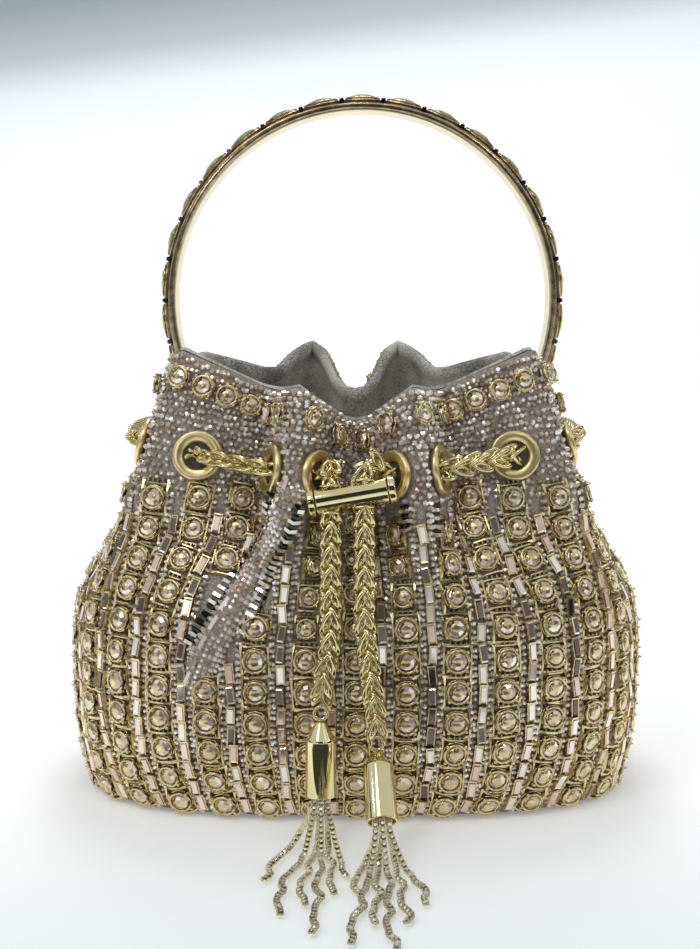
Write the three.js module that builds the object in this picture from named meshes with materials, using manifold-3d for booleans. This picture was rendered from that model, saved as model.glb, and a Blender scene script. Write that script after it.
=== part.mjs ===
// Evening bucket bag: a gathered, stone-set body with a drawstring chain and a hoop handle.
// Millimetres, +Z up, the middle of the base on the origin, the front towards -Y.

import * as THREE from 'three';
import { mergeVertices } from 'three/addons/utils/BufferGeometryUtils.js';
import Module from 'manifold-3d';

const wasm = await Module();
wasm.setup();

// Body: half sizes of the outer cloth at four heights
const baseHalfWidth = 75.5;
const baseHalfDepth = 51.5;
const bellyHalfWidth = 80;
const bellyHalfDepth = 62;
const neckHalfWidth = 65.5;
const neckHalfDepth = 51;
const mouthHalfWidth = 51.2;
const mouthHalfDepth = 42;
const bellyHeight = 42;
const neckHeight = 86;
const mouthHeight = 127;
const cornerPower = 2.9;
const bellyFullness = 2.8;
const shoulderFullness = 1.3;

// Heights below the neck at which the cloth's faces have a ring of corners
const outerRings = [0, 4, 14, bellyHeight, 56, 68, 78, neckHeight];
const innerRings = [0, 4, 14, bellyHeight, 68, 78, neckHeight];

// Layers of the body
const wallThickness = 1.1;
const liningThickness = 1.0;
const layerGap = 0.35;
const basePanelThickness = 1.4;
const baseBoardThickness = 2.0;
const stackGap = 0.3;

// Upright columns of stones: one rib to each pair of steps round the body
const columnCount = 36;
const ribHeight = 2.4;
const ribStart = 2;

// Gathers: the step they lie at, and as shares of the two sizes how far they push the cloth out
// and how far the rim drops there
const gatherStart = 52;
const gatherPush = 10.5;
const rimDrop = 20;
const sideRimDrop = 21;
const sideRimShare = sideRimDrop / rimDrop;
const gathers = [
  { step: 0, push: -1, drop: 1.05 },
  { step: 3, push: 1, drop: 0.5 },
  { step: 5, push: -0.8, drop: 0.6 },
  { step: 11, push: 0.6, drop: 0 },
  { step: 14, push: -0.18, drop: sideRimShare },
  { step: 22, push: -0.18, drop: sideRimShare },
  { step: 25, push: 0.6, drop: 0.15 },
  { step: 30, push: -0.7, drop: 0.45 },
  { step: 33, push: 0.8, drop: 0 },
  { step: 36, push: -1, drop: 0.75 },
];

// Eyelets: one half way up each flank of each gather
const eyeletSteps = [2, 4.1, 8.5, 12.5, 23.5, 27.5, 31.5, 34.5];
const eyeletFlangeRadius = 6.7;
const eyeletFlangeThickness = 1.1;
const eyeletBoreRadius = 4.4;
const eyeletWall = 0.6;
const eyeletLift = 0.6;
const eyeletTail = 0.5;
const eyeletSides = 8;
const eyeletHeightFront = 93;
const eyeletHeightSide = 102;
const seatClearance = 0.3;

// Drawstring chain
const chainDiameter = 4.6;
const chainSides = 8;
const chainReach = 3.6;
const chainPitch = 2.5 * chainDiameter;

// Slider: a barrel across the two pull chains, with a cap on each end
const sliderCentre = new THREE.Vector3(-1.2, -61.2, 88.8);
const sliderDiameter = 7.3;
const sliderBarrelLength = 19;
const sliderCapLength = 1.8;
const sliderCapProud = 0.15;
const sliderTilt = THREE.MathUtils.degToRad(10);
const sliderHoleSpacing = 8.8;
const sliderHoleShift = -1.1;
const sliderHoleClearance = 0.45;
const sliderTravel = 28;
const turnedSides = 12;

// Pull chains: over the front of the neck, then straight down through the slider
const pullSlope = THREE.MathUtils.degToRad(11.6);
const pullLeave = 2;
const pullRise = 8;
const pullTopRise = 1.6;
const pullTopShare = 0.6;
const pullStraightShares = [-0.16, 0, 0.15, 0.4, 0.7, 1];

// Hoop handle, standing in the middle of the mouth
const hoopOuterRadius = 59.5;
const hoopBandRadius = 57.2;
const hoopInnerRadius = 54.5;
const hoopWidth = 12;
const hoopStoneWidth = 8.6;
const hoopStoneCount = 30;
const hoopStoneDip = 1.6;
const hoopRise = 39;
const hoopShift = 2;

// Velvet tabs that carry the hoop, and the patches they are sewn to
const tabBelowRim = 5;
const tabHeight = mouthHeight - sideRimDrop - tabBelowRim;
const hoopCentre = new THREE.Vector3(hoopShift, 0, tabHeight + hoopRise);
const tabLength = 8;
const tabThickness = 1.2;
const tabClearance = 0.35;
const tabTailHeight = 3;
const tabTailWidth = 8;
const patchHeight = 8;
const patchWidth = 10;
const patchThickness = 0.9;
const sewnGap = 0.3;

// Chain ends: ring, bell cap and fringe
const ringRadius = 1.6;
const ringWire = 0.4;
const bellRadius = 4;
const bellNeckRadius = 1.3;
const bellConeHeight = 4.4;
const bellLength = 19.6;
const bellWall = 0.45;
const bellMouthDepth = 3;
const fringeCount = 6;
const fringeDiameter = 1.7;
const fringeCircleRadius = 2.05;
const fringeSides = 8;
const fringePitch = 4 * fringeDiameter;
const fringeDrop = 2.5;
const fringeFloor = 1.25;
const fringeLanding = 1.7;
const endGap = 0.3;

// Colours and surfaces
const stoneCloth = new THREE.MeshStandardMaterial({ color: 0x9c8579, roughness: 0.35, metalness: 0.45 });
const velvet = new THREE.MeshStandardMaterial({ color: 0x8d8078, roughness: 0.95, metalness: 0 });
const board = new THREE.MeshStandardMaterial({ color: 0x6b625c, roughness: 0.9, metalness: 0 });
const paleGold = new THREE.MeshStandardMaterial({ color: 0xd9bd76, roughness: 0.18, metalness: 1 });
const chainGold = new THREE.MeshStandardMaterial({ color: 0xc9a95c, roughness: 0.25, metalness: 1 });
const hoopGold = new THREE.MeshStandardMaterial({ color: 0xa08a52, roughness: 0.3, metalness: 1 });

const bag = new THREE.Group();
bag.name = 'crystal_bucket_bag';

/** Adds one named piece to the bag. */
function addPiece(name, geometry, material) {
  const mesh = new THREE.Mesh(geometry, material);
  mesh.name = name;
  bag.add(mesh);
  return mesh;
}

/** Half width and half depth of the cloth at a height. */
function bodyHalf(height) {
  const between = THREE.MathUtils.lerp;
  if (height <= bellyHeight) {
    const rise = 1 - (1 - height / bellyHeight) ** bellyFullness;
    return [between(baseHalfWidth, bellyHalfWidth, rise), between(baseHalfDepth, bellyHalfDepth, rise)];
  }
  if (height <= neckHeight) {
    const climb = ((height - bellyHeight) / (neckHeight - bellyHeight)) ** shoulderFullness;
    const draw = (1 - Math.cos(climb * Math.PI)) / 2;
    return [between(bellyHalfWidth, neckHalfWidth, draw), between(bellyHalfDepth, neckHalfDepth, draw)];
  }
  const top = (height - neckHeight) / (mouthHeight - neckHeight);
  return [between(neckHalfWidth, mouthHalfWidth, top), between(neckHalfDepth, mouthHalfDepth, top)];
}

/** Point of the ungathered outline at an angle from the front. */
function outlinePoint(angle, halfWidth, halfDepth) {
  const across = Math.abs(Math.sin(angle)) / halfWidth;
  const along = Math.abs(Math.cos(angle)) / halfDepth;
  const radius = (across ** cornerPower + along ** cornerPower) ** (-1 / cornerPower);
  return new THREE.Vector2(radius * Math.sin(angle), -radius * Math.cos(angle));
}

/** Outward direction of the ungathered outline at one of its points. */
function outlineNormal(point, halfWidth, halfDepth) {
  const pull = (value, half) => (Math.sign(value) * Math.abs(value / half) ** (cornerPower - 1)) / half;
  return new THREE.Vector2(pull(point.x, halfWidth), pull(point.y, halfDepth)).normalize();
}

// Steps round the body, equal lengths of cloth at the belly, two to a column
const stepCount = 2 * columnCount;
const fineAngles = 3600;
const angleOfStep = measureSteps();

/** Angle of every step, found by walking the belly outline. */
function measureSteps() {
  const travelled = [0];
  let last = outlinePoint(0, bellyHalfWidth, bellyHalfDepth);
  for (let i = 1; i <= fineAngles; i += 1) {
    const next = outlinePoint((i / fineAngles) * 2 * Math.PI, bellyHalfWidth, bellyHalfDepth);
    travelled.push(travelled[i - 1] + next.distanceTo(last));
    last = next;
  }
  const angles = [];
  let at = 0;
  for (let step = 0; step <= stepCount; step += 1) {
    const target = (step / stepCount) * travelled[fineAngles];
    while (at < fineAngles - 1 && travelled[at + 1] < target) at += 1;
    const part = (target - travelled[at]) / (travelled[at + 1] - travelled[at]);
    angles.push(((at + part) / fineAngles) * 2 * Math.PI);
  }
  return angles;
}

/** Angle from the front at a step, whole or not, either way round. */
function stepAngle(step) {
  const turned = ((step % stepCount) + stepCount) % stepCount;
  const low = Math.floor(turned);
  return THREE.MathUtils.lerp(angleOfStep[low], angleOfStep[low + 1], turned - low);
}

/** Value of one gather field at a step, straight between the gathers, alike on both sides. */
function gatherValue(step, field) {
  const half = stepCount / 2;
  const turned = ((step % stepCount) + stepCount) % stepCount;
  const place = ((turned <= half ? turned : stepCount - turned) / half) * gathers[gathers.length - 1].step;
  let i = 0;
  while (i < gathers.length - 2 && place > gathers[i + 1].step) i += 1;
  const part = (place - gathers[i].step) / (gathers[i + 1].step - gathers[i].step);
  return THREE.MathUtils.lerp(gathers[i][field], gathers[i + 1][field], part);
}

/** Height of the rim at a step. */
function rimHeight(step) {
  return mouthHeight - rimDrop * gatherValue(step, 'drop');
}

/** How much of the gathers shows at a height, from none at their start to all at the neck. */
function gatherStrength(height) {
  return THREE.MathUtils.smoothstep(height, gatherStart, neckHeight);
}

/** How much longer a straight cut through the slanting cloth is than its thickness. */
function slantFactor(step, height) {
  const [halfWidth, halfDepth] = bodyHalf(height);
  const here = outlinePoint(stepAngle(step), halfWidth, halfDepth);
  const rise = (other) => {
    const there = outlinePoint(stepAngle(other), halfWidth, halfDepth);
    const push = gatherPush * (gatherValue(other, 'push') - gatherValue(step, 'push'));
    return (push * gatherStrength(height)) / here.distanceTo(there);
  };
  return Math.hypot(1, Math.max(Math.abs(rise(step - 0.5)), Math.abs(rise(step + 0.5))));
}

/** Point of the cloth at a step and height, a depth inside its outer face. */
function clothPoint(step, height, depth) {
  const [halfWidth, halfDepth] = bodyHalf(height);
  const point = outlinePoint(stepAngle(step), halfWidth, halfDepth);
  const normal = outlineNormal(point, halfWidth, halfDepth);
  const gathered = gatherPush * gatherValue(step, 'push') * gatherStrength(height);
  const push = gathered - depth * slantFactor(step, height);
  return new THREE.Vector3(point.x + normal.x * push, point.y + normal.y * push, height);
}

/** One ring of cloth points. The height is a number, or a share of the way from the neck to the rim. */
function clothRing({ height, share }, depth, lift = () => 0) {
  const ring = [];
  for (let step = 0; step < stepCount; step += 1) {
    const level = share === undefined ? height : THREE.MathUtils.lerp(neckHeight, rimHeight(step), share);
    ring.push(clothPoint(step, level, depth - lift(step, level)));
  }
  return ring;
}

/**
 * Closed surface through rings of points: back to the first ring, or with both end rings filled.
 * Each four-sided patch is split from its lower left to its upper right, so that layers stay parallel.
 */
function loft(rings, { filledEnds = false } = {}) {
  const size = rings[0].length;
  const points = rings.flat();
  const faces = [];
  const bands = filledEnds ? rings.length - 1 : rings.length;
  for (let i = 0; i < bands; i += 1) {
    const here = i * size;
    const there = ((i + 1) % rings.length) * size;
    const rising = points[there].z >= points[here].z;
    for (let j = 0; j < size; j += 1) {
      const next = (j + 1) % size;
      if (rising) faces.push(here + j, here + next, there + next, here + j, there + next, there + j);
      else faces.push(here + j, here + next, there + j, here + next, there + next, there + j);
    }
  }
  if (filledEnds) {
    const last = (rings.length - 1) * size;
    const middle = (ring) => ring.reduce((sum, p) => sum.add(p), new THREE.Vector3()).divideScalar(size);
    points.push(middle(rings[0]), middle(rings[rings.length - 1]));
    for (let j = 0; j < size; j += 1) {
      const next = (j + 1) % size;
      faces.push(points.length - 2, next, j, points.length - 1, last + j, last + next);
    }
  }
  const geometry = new THREE.BufferGeometry().setFromPoints(points);
  geometry.setIndex(faces);
  return flatShaded(geometry);
}

/** The same surface with a normal for each face. */
function flatShaded(geometry) {
  const loose = geometry.toNonIndexed();
  loose.computeVertexNormals();
  return loose;
}

/** Solid for cutting and joining, made from a closed surface in its place. */
function solidOf(geometry) {
  const bare = new THREE.BufferGeometry();
  bare.setAttribute('position', geometry.getAttribute('position').clone());
  if (geometry.index) bare.setIndex(geometry.index.clone());
  const merged = mergeVertices(bare, 1e-4);
  const mesh = new wasm.Mesh({
    numProp: 3,
    vertProperties: merged.getAttribute('position').array,
    triVerts: Uint32Array.from(merged.index.array),
  });
  return new wasm.Manifold(mesh);
}

/** Surface of a solid. */
function surfaceOf(solid) {
  const mesh = solid.getMesh();
  const geometry = new THREE.BufferGeometry();
  geometry.setAttribute('position', new THREE.BufferAttribute(Float32Array.from(mesh.vertProperties), 3));
  geometry.setIndex(Array.from(mesh.triVerts));
  return flatShaded(geometry);
}

/** Surface with other surfaces cut out of it. */
function cut(geometry, cutters) {
  let solid = solidOf(geometry);
  for (const cutter of cutters) solid = solid.subtract(solidOf(cutter));
  return surfaceOf(solid);
}

/** Turns a surface made along +Y to a direction and moves it to a point. */
function placeAlong(geometry, point, direction) {
  const turn = new THREE.Quaternion().setFromUnitVectors(new THREE.Vector3(0, 1, 0), direction);
  return geometry.applyMatrix4(new THREE.Matrix4().compose(point, turn, new THREE.Vector3(1, 1, 1)));
}

/** Turned piece from pairs of radius and height, which close on themselves or on the axis. */
function turned(profile, sides) {
  return new THREE.LatheGeometry(profile.map(([r, h]) => new THREE.Vector2(r, h)), sides);
}

/** Plain round cord along a smooth curve through points, with a step about every pitch. */
function cord(points, diameter, sides, pitch) {
  const path = new THREE.CatmullRomCurve3(points, false, 'centripetal');
  const section = [];
  for (let i = 0; i < sides; i += 1) {
    const angle = (i / sides) * 2 * Math.PI;
    section.push(new THREE.Vector2(Math.cos(angle), Math.sin(angle)).multiplyScalar(diameter / 2));
  }
  const steps = Math.max(2, Math.round(path.getLength() / pitch));
  return new THREE.ExtrudeGeometry(new THREE.Shape(section), { steps, extrudePath: path });
}

/** Flat plate of the base's outline, from one height up to a thickness. */
function basePlate(bottom, thickness) {
  const outline = [];
  for (let step = 0; step < stepCount; step += 2) {
    const point = clothPoint(step, 0, wallThickness + layerGap);
    outline.push(new THREE.Vector2(point.x, point.y));
  }
  const shape = new THREE.Shape(outline);
  const plate = new THREE.ExtrudeGeometry(shape, { depth: thickness, bevelEnabled: false });
  return plate.translate(0, 0, bottom);
}

// Eyelet places: the point on the outer cloth and the outward direction there
const eyelets = eyeletSteps.flatMap((step) => [step, -step]).map(eyeletPlace);

/** Height of the drawstring at a step: lowest at the front and back, highest at the sides. */
function stringHeight(step) {
  return THREE.MathUtils.lerp(eyeletHeightFront, eyeletHeightSide, Math.sin(stepAngle(step)) ** 2);
}

/** Place of the eyelet at a step. */
function eyeletPlace(step) {
  const height = stringHeight(step);
  const reach = eyeletFlangeRadius / 2;
  const sideways = clothPoint(step + 0.5, height, 0).sub(clothPoint(step - 0.5, height, 0));
  const upwards = clothPoint(step, height + reach, 0).sub(clothPoint(step, height - reach, 0));
  const direction = sideways.cross(upwards).normalize();
  return { step, direction, point: clothPoint(step, height, 0) };
}

const eyeletStack = wallThickness + layerGap + liningThickness + eyeletLift + eyeletTail;

/** Eyelet seat cutter: the barrel's hole, and room for the flange above the cloth. */
function eyeletCutter({ point, direction }) {
  const hole = eyeletBoreRadius + eyeletWall + seatClearance;
  const flange = eyeletFlangeRadius + seatClearance;
  const seat = eyeletLift - seatClearance;
  const deep = -2 * eyeletStack;
  const high = 2 * eyeletFlangeRadius;
  const profile = [[0, deep], [hole, deep], [hole, seat], [flange, seat], [flange, high], [0, high]];
  return placeAlong(turned(profile, eyeletSides), point, direction);
}

/** Eyelet: a flange on the cloth and a barrel through every layer. */
function eyeletGeometry() {
  const top = eyeletLift + eyeletFlangeThickness;
  const bottom = eyeletLift - eyeletStack;
  const barrel = eyeletBoreRadius + eyeletWall;
  return turned([
    [eyeletBoreRadius, bottom],
    [barrel, bottom],
    [barrel, eyeletLift],
    [eyeletFlangeRadius, eyeletLift],
    [eyeletBoreRadius + 2 * eyeletWall, top],
    [eyeletBoreRadius, top - eyeletWall],
    [eyeletBoreRadius, bottom],
  ], eyeletSides);
}

// Body wall, base and lining
const wallLevels = outerRings.map((height) => ({ height }));
const innerLevels = innerRings.map((height) => ({ height }));
const rimLevel = { share: 1 };
const liningBottom = basePanelThickness + baseBoardThickness + 2 * stackGap;
const cutters = eyelets.map(eyeletCutter);

/** Height of a rib at a step: full on every other step, from the base up to the neck. */
function ribLift(step, height) {
  const onRib = step % 2 === 0;
  return onRib && height > ribStart && height < neckHeight ? ribHeight : 0;
}

/** Levels of the lining from a floor height up to the rim. */
function liningLevels(floor) {
  return [{ height: floor }, ...innerLevels.filter(({ height }) => height > floor), rimLevel];
}

const wallOuter = [...wallLevels, rimLevel].map((level) => clothRing(level, 0, ribLift));
const wallInner = [...innerLevels, rimLevel].map((level) => clothRing(level, wallThickness)).reverse();
addPiece('bag_wall', cut(loft([...wallOuter, ...wallInner]), cutters), stoneCloth);

const liningFace = wallThickness + layerGap;
const liningOuter = liningLevels(liningBottom).map((level) => clothRing(level, liningFace));
const liningInner = liningLevels(liningBottom + liningThickness)
  .map((level) => clothRing(level, liningFace + liningThickness))
  .reverse();
addPiece('lining', cut(loft([...liningOuter, ...liningInner], { filledEnds: true }), cutters), velvet);

addPiece('base_panel', basePlate(0, basePanelThickness), velvet);
addPiece('base_board', basePlate(basePanelThickness + stackGap, baseBoardThickness), board);

eyelets.forEach(({ point, direction }, index) => {
  const eyelet = addPiece(`eyelet_${index + 1}`, eyeletGeometry(), paleGold);
  eyelet.position.copy(point);
  eyelet.quaternion.setFromUnitVectors(new THREE.Vector3(0, 1, 0), direction);
});

// Hoop handle: a flat band with a row of raised stones round its outside
/** One section of the hoop, with the stones at a given radius. */
function hoopSection(angle, stoneRadius) {
  const half = hoopWidth / 2;
  const stone = hoopStoneWidth / 2;
  const outline = [
    [hoopInnerRadius, -half],
    [hoopInnerRadius, half],
    [hoopBandRadius, half],
    [stoneRadius, stone],
    [stoneRadius, -stone],
    [hoopBandRadius, -half],
  ];
  return outline.map(([r, y]) => new THREE.Vector3(r * Math.sin(angle), y, r * Math.cos(angle)));
}

const hoopSections = [];
for (let i = 0; i < 2 * hoopStoneCount; i += 1) {
  const stoneRadius = hoopOuterRadius - (i % 2 === 0 ? 0 : hoopStoneDip);
  hoopSections.push(hoopSection((i / hoopStoneCount) * Math.PI, stoneRadius));
}
addPiece('hoop_handle', loft(hoopSections), hoopGold).position.copy(hoopCentre);

// Velvet tabs: a sleeve round the hoop and a tail to a patch sewn on the lining
const hoopMiddleRadius = (hoopInnerRadius + hoopOuterRadius) / 2;
const tabDrop = Math.asin((hoopCentre.z - tabHeight) / hoopMiddleRadius);

/** Distance from the middle of the bag to the lining's inner face at the side, at a height. */
function liningSideReach(height) {
  return clothPoint(stepCount / 4, height, liningFace + liningThickness).x;
}

/** Patch against the leaning lining, with an upright inner face at a distance from the middle of the bag. */
function patchGeometry(face) {
  const low = tabHeight - patchHeight / 2;
  const high = tabHeight + patchHeight / 2;
  const section = new THREE.Shape([
    new THREE.Vector2(face, low),
    new THREE.Vector2(liningSideReach(low) - 2 * sewnGap, low),
    new THREE.Vector2(liningSideReach(high) - 2 * sewnGap, high),
    new THREE.Vector2(face, high),
  ]);
  const patch = new THREE.ExtrudeGeometry(section, { depth: patchWidth, bevelEnabled: false });
  return patch.rotateX(Math.PI / 2).translate(0, patchWidth / 2, 0);
}

for (const [name, side] of [['left', -1], ['right', 1]]) {
  const radial = hoopOuterRadius - hoopInnerRadius + 2 * tabClearance;
  const width = hoopWidth + 2 * tabClearance;
  const sleeve = new THREE.BoxGeometry(radial + 2 * tabThickness, width + 2 * tabThickness, tabLength);
  const hole = new THREE.BoxGeometry(radial, width, 2 * tabLength);
  const centre = new THREE.Vector3(hoopCentre.x + side * hoopMiddleRadius * Math.cos(tabDrop), 0, tabHeight);
  for (const box of [sleeve, hole]) {
    box.rotateY(side * tabDrop);
    box.translate(centre.x, centre.y, centre.z);
  }
  const patchFace = liningSideReach(tabHeight + patchHeight / 2) - 2 * sewnGap - patchThickness;
  const tailStart = Math.abs(centre.x) + radial / 2;
  const tailEnd = patchFace - sewnGap;
  const tail = new THREE.BoxGeometry(tailEnd - tailStart, tabTailWidth, tabTailHeight);
  tail.translate((side * (tailStart + tailEnd)) / 2, 0, tabHeight);
  const tab = solidOf(sleeve).add(solidOf(tail)).subtract(solidOf(hole));
  addPiece(`handle_tab_${name}`, surfaceOf(tab), velvet);
  addPiece(`tab_patch_${name}`, patchGeometry(patchFace), velvet).rotation.z = side > 0 ? 0 : Math.PI;
}

// Slider: barrel with two cross holes, and end caps
const pullDirection = new THREE.Vector3(0, -Math.sin(pullSlope), -Math.cos(pullSlope));
const sliderAxis = new THREE.Vector3(Math.cos(sliderTilt), 0, Math.sin(sliderTilt));
const holeOffsets = [-1, 1].map((side) => (side * sliderHoleSpacing) / 2 + sliderHoleShift);
const holePoints = holeOffsets.map((offset) => sliderCentre.clone().addScaledVector(sliderAxis, offset));

const holeRadius = chainDiameter / 2 + sliderHoleClearance;
const barrel = new THREE.CylinderGeometry(
  sliderDiameter / 2, sliderDiameter / 2, sliderBarrelLength, turnedSides);
placeAlong(barrel, sliderCentre, sliderAxis);
const crossHoles = holePoints.map((point) => placeAlong(
  new THREE.CylinderGeometry(holeRadius, holeRadius, 3 * sliderDiameter, turnedSides), point, pullDirection));
addPiece('slider_barrel', cut(barrel, crossHoles), paleGold);

for (const [name, side] of [['left', -1], ['right', 1]]) {
  const capRadius = sliderDiameter / 2 + sliderCapProud;
  const cap = turned([
    [0, 0],
    [capRadius, 0],
    [capRadius, sliderCapLength - sliderCapProud],
    [capRadius - 2 * sliderCapProud, sliderCapLength],
    [0, sliderCapLength],
  ], turnedSides);
  const start = sliderCentre.clone().addScaledVector(sliderAxis, side * (sliderBarrelLength / 2 + endGap));
  addPiece(`slider_cap_${name}`, placeAlong(cap, start, sliderAxis.clone().multiplyScalar(side)), paleGold);
}

// Drawstring: in and out through every eyelet, from the right front one round the back to the left
/** Points of the chain where it passes through one eyelet, from one end of its axis to the other. */
function throughEyelet(eyelet, outwardsFirst) {
  const middle = stringMiddle(eyelet);
  const out = middle.clone().addScaledVector(eyelet.direction, chainReach);
  const back = middle.clone().addScaledVector(eyelet.direction, -chainReach);
  return outwardsFirst ? [out, middle, back] : [back, middle, out];
}

/** Middle of an eyelet's bore, half way through the layers. */
function stringMiddle({ point, direction }) {
  return point.clone().addScaledVector(direction, -(wallThickness + liningThickness) / 2);
}

const ordered = [...eyelets].sort((a, b) => (a.step > 0 ? a.step : a.step + stepCount)
  - (b.step > 0 ? b.step : b.step + stepCount));
const stringPoints = ordered.flatMap((eyelet, index) => throughEyelet(eyelet, index % 2 === 0));
addPiece('neck_chain', cord(stringPoints, chainDiameter, chainSides, chainPitch / 2), chainGold);

// Pull chains: from the two middle eyelets over and down through the slider, to their rings
const pulls = [
  {
    name: 'left',
    eyelet: ordered[ordered.length - 1],
    hole: holePoints[0],
    hang: [[-7.2, -69, 48], [-8.4, -69.3, 42], [-9.2, -69.3, 35.4]],
    lean: new THREE.Vector3(0, 0, -1),
  },
  {
    name: 'right',
    eyelet: ordered[0],
    hole: holePoints[1],
    hang: [[3, -69, 48], [3.9, -69.8, 41], [4.8, -70, 34], [5.3, -70, 27.6]],
    lean: new THREE.Vector3(0.05, -0.66, -0.75).normalize(),
  },
];

const straightEnd = sliderTravel + sliderDiameter / 2;
for (const { name, eyelet, hole, hang } of pulls) {
  const leaving = [chainReach + endGap, chainReach + pullLeave]
    .map((reach) => stringMiddle(eyelet).addScaledVector(eyelet.direction, reach));
  const over = hole.clone().addScaledVector(pullDirection, -pullRise);
  const top = leaving[1].clone().lerp(over, pullTopShare);
  top.z = over.z + pullTopRise;
  const straight = pullStraightShares
    .map((share) => hole.clone().addScaledVector(pullDirection, share * straightEnd));
  const points = [...leaving, top, ...straight, ...hang.map((p) => new THREE.Vector3(...p))];
  addPiece(`pull_chain_${name}`, cord(points, chainDiameter, chainSides, chainPitch / 2), chainGold);
}

// Rings, bell caps and fringes at the ends of the pull chains
/** Bell cap along -Y from its neck, hollow at the mouth. */
function bellGeometry() {
  const roof = -(bellLength - bellMouthDepth);
  return turned([
    [0, roof],
    [bellRadius - bellWall, roof],
    [bellRadius - bellWall, -bellLength],
    [bellRadius, -bellLength],
    [bellRadius, -bellConeHeight],
    [bellNeckRadius, 0],
    [0, 0],
  ], turnedSides);
}

// Where each fringe chain lies: points on the floor, given as places left to right and front to back
const fringeRoutes = {
  left: [
    [[-16.3, -79], [-20, -90], [-22.5, -103]],
    [[-10, -80], [-11, -90], [-13, -104], [-12.8, -119]],
    [[-7.2, -77.5], [-6.7, -88], [-6, -100], [-6.4, -112]],
    [[-4.2, -89], [-3.4, -94], [-3, -101]],
    [[-8.9, -86], [-8.7, -92], [-9.4, -106], [-9.2, -121], [-10.4, -136]],
    [[-13, -85], [-14.2, -91], [-17, -103], [-18.5, -114], [-17, -125]],
  ],
  right: [
    [[2.2, -92], [0.4, -100], [-0.6, -112]],
    [[5.4, -93], [5, -104], [4.6, -118], [3.4, -130]],
    [[9.4, -92], [10.3, -104], [10.6, -118], [11.5, -130]],
    [[12, -98], [13.6, -102], [15.4, -110], [16, -119]],
    [[7.2, -96], [7.7, -102], [7.5, -115], [6.8, -129], [8, -145]],
    [[3.6, -95], [2.7, -101], [1.8, -113], [-0.4, -127], [-2, -142]],
  ],
};

for (const { name, hang, lean } of pulls) {
  const chainEnd = new THREE.Vector3(...hang[hang.length - 1]);
  const down = new THREE.Vector3(0, 0, -1);
  const ringCentre = chainEnd.clone().addScaledVector(down, endGap + ringRadius + ringWire);
  const ring = addPiece(`jump_ring_${name}`, new THREE.TorusGeometry(ringRadius, ringWire, 6, 12), paleGold);
  ring.rotation.x = Math.PI / 2;
  ring.rotation.order = 'ZYX';
  ring.position.copy(ringCentre);

  const neck = ringCentre.clone().addScaledVector(lean, ringRadius + ringWire + endGap);
  const bell = addPiece(`bell_cap_${name}`, bellGeometry(), paleGold);
  bell.position.copy(neck);
  bell.quaternion.setFromUnitVectors(new THREE.Vector3(0, -1, 0), lean);

  const roof = neck.clone().addScaledVector(lean, bellLength - bellMouthDepth + endGap);
  const mouth = neck.clone().addScaledVector(lean, bellLength);
  const across = new THREE.Vector3(1, 0, 0).addScaledVector(lean, -lean.x).normalize();
  const forward = new THREE.Vector3().crossVectors(across, lean).normalize();
  fringeRoutes[name].forEach((route, index) => {
    const angle = ((index + 0.5) / fringeCount) * 2 * Math.PI;
    const offset = across.clone().multiplyScalar(-fringeCircleRadius * Math.cos(angle))
      .addScaledVector(forward, fringeCircleRadius * Math.sin(angle));
    const clear = mouth.clone().addScaledVector(lean, fringeDrop);
    const leaving = [roof, mouth, clear].map((p) => p.clone().add(offset));
    const lying = route.map(([x, y], i) => new THREE.Vector3(x, y, i ? fringeFloor : fringeLanding));
    const points = [...leaving, ...lying];
    const fringe = cord(points, fringeDiameter, fringeSides, fringePitch);
    addPiece(`fringe_${name}_${index + 1}`, fringe, chainGold);
  });
}

export default bag;
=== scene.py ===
"""Looks of the evening bucket bag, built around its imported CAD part.

Every piece is in metres in the frame of the CAD part: +Z up, the front towards -Y and the
middle of the base on the origin. The classes below follow the parts of the bag, and main
builds them in order.
"""

import logging
import math
from dataclasses import dataclass
from enum import Enum

import bmesh
import bpy
import numpy as np
from mathutils import Matrix, Vector


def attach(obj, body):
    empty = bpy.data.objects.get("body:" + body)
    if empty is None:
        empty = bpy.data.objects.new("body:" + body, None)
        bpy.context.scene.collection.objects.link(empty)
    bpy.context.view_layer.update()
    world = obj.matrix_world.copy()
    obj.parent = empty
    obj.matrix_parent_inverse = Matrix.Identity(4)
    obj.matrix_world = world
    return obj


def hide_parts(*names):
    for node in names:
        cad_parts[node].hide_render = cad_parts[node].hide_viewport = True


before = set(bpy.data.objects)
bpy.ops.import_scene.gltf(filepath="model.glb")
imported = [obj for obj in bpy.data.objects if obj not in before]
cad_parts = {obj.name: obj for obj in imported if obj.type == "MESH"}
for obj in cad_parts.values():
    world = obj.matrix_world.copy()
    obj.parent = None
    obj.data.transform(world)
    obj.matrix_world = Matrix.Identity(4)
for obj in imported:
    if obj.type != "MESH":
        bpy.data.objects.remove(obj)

log = logging.getLogger("bucket_bag")
MM = 0.001
SIDES = (-1, 1)
Point = tuple[float, float, float]
Colour = tuple[float, float, float]

# Steps of a line between two of its points, and the pairs of knots that each stage of it blends.
CURVE_STEPS = 24
CURVE_SPANS = (((0, 1), (1, 2), (2, 3)), ((0, 2), (1, 3)), ((1, 2),))


def mm(x: float, y: float, z: float) -> np.ndarray:
    """Point given in millimetres, in metres."""
    return np.array([x, y, z], float) * MM


def unit(vectors: np.ndarray) -> np.ndarray:
    """The same vectors with a length of one."""
    return vectors / np.maximum(np.linalg.norm(vectors, axis=-1, keepdims=True), 1e-12)


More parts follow.
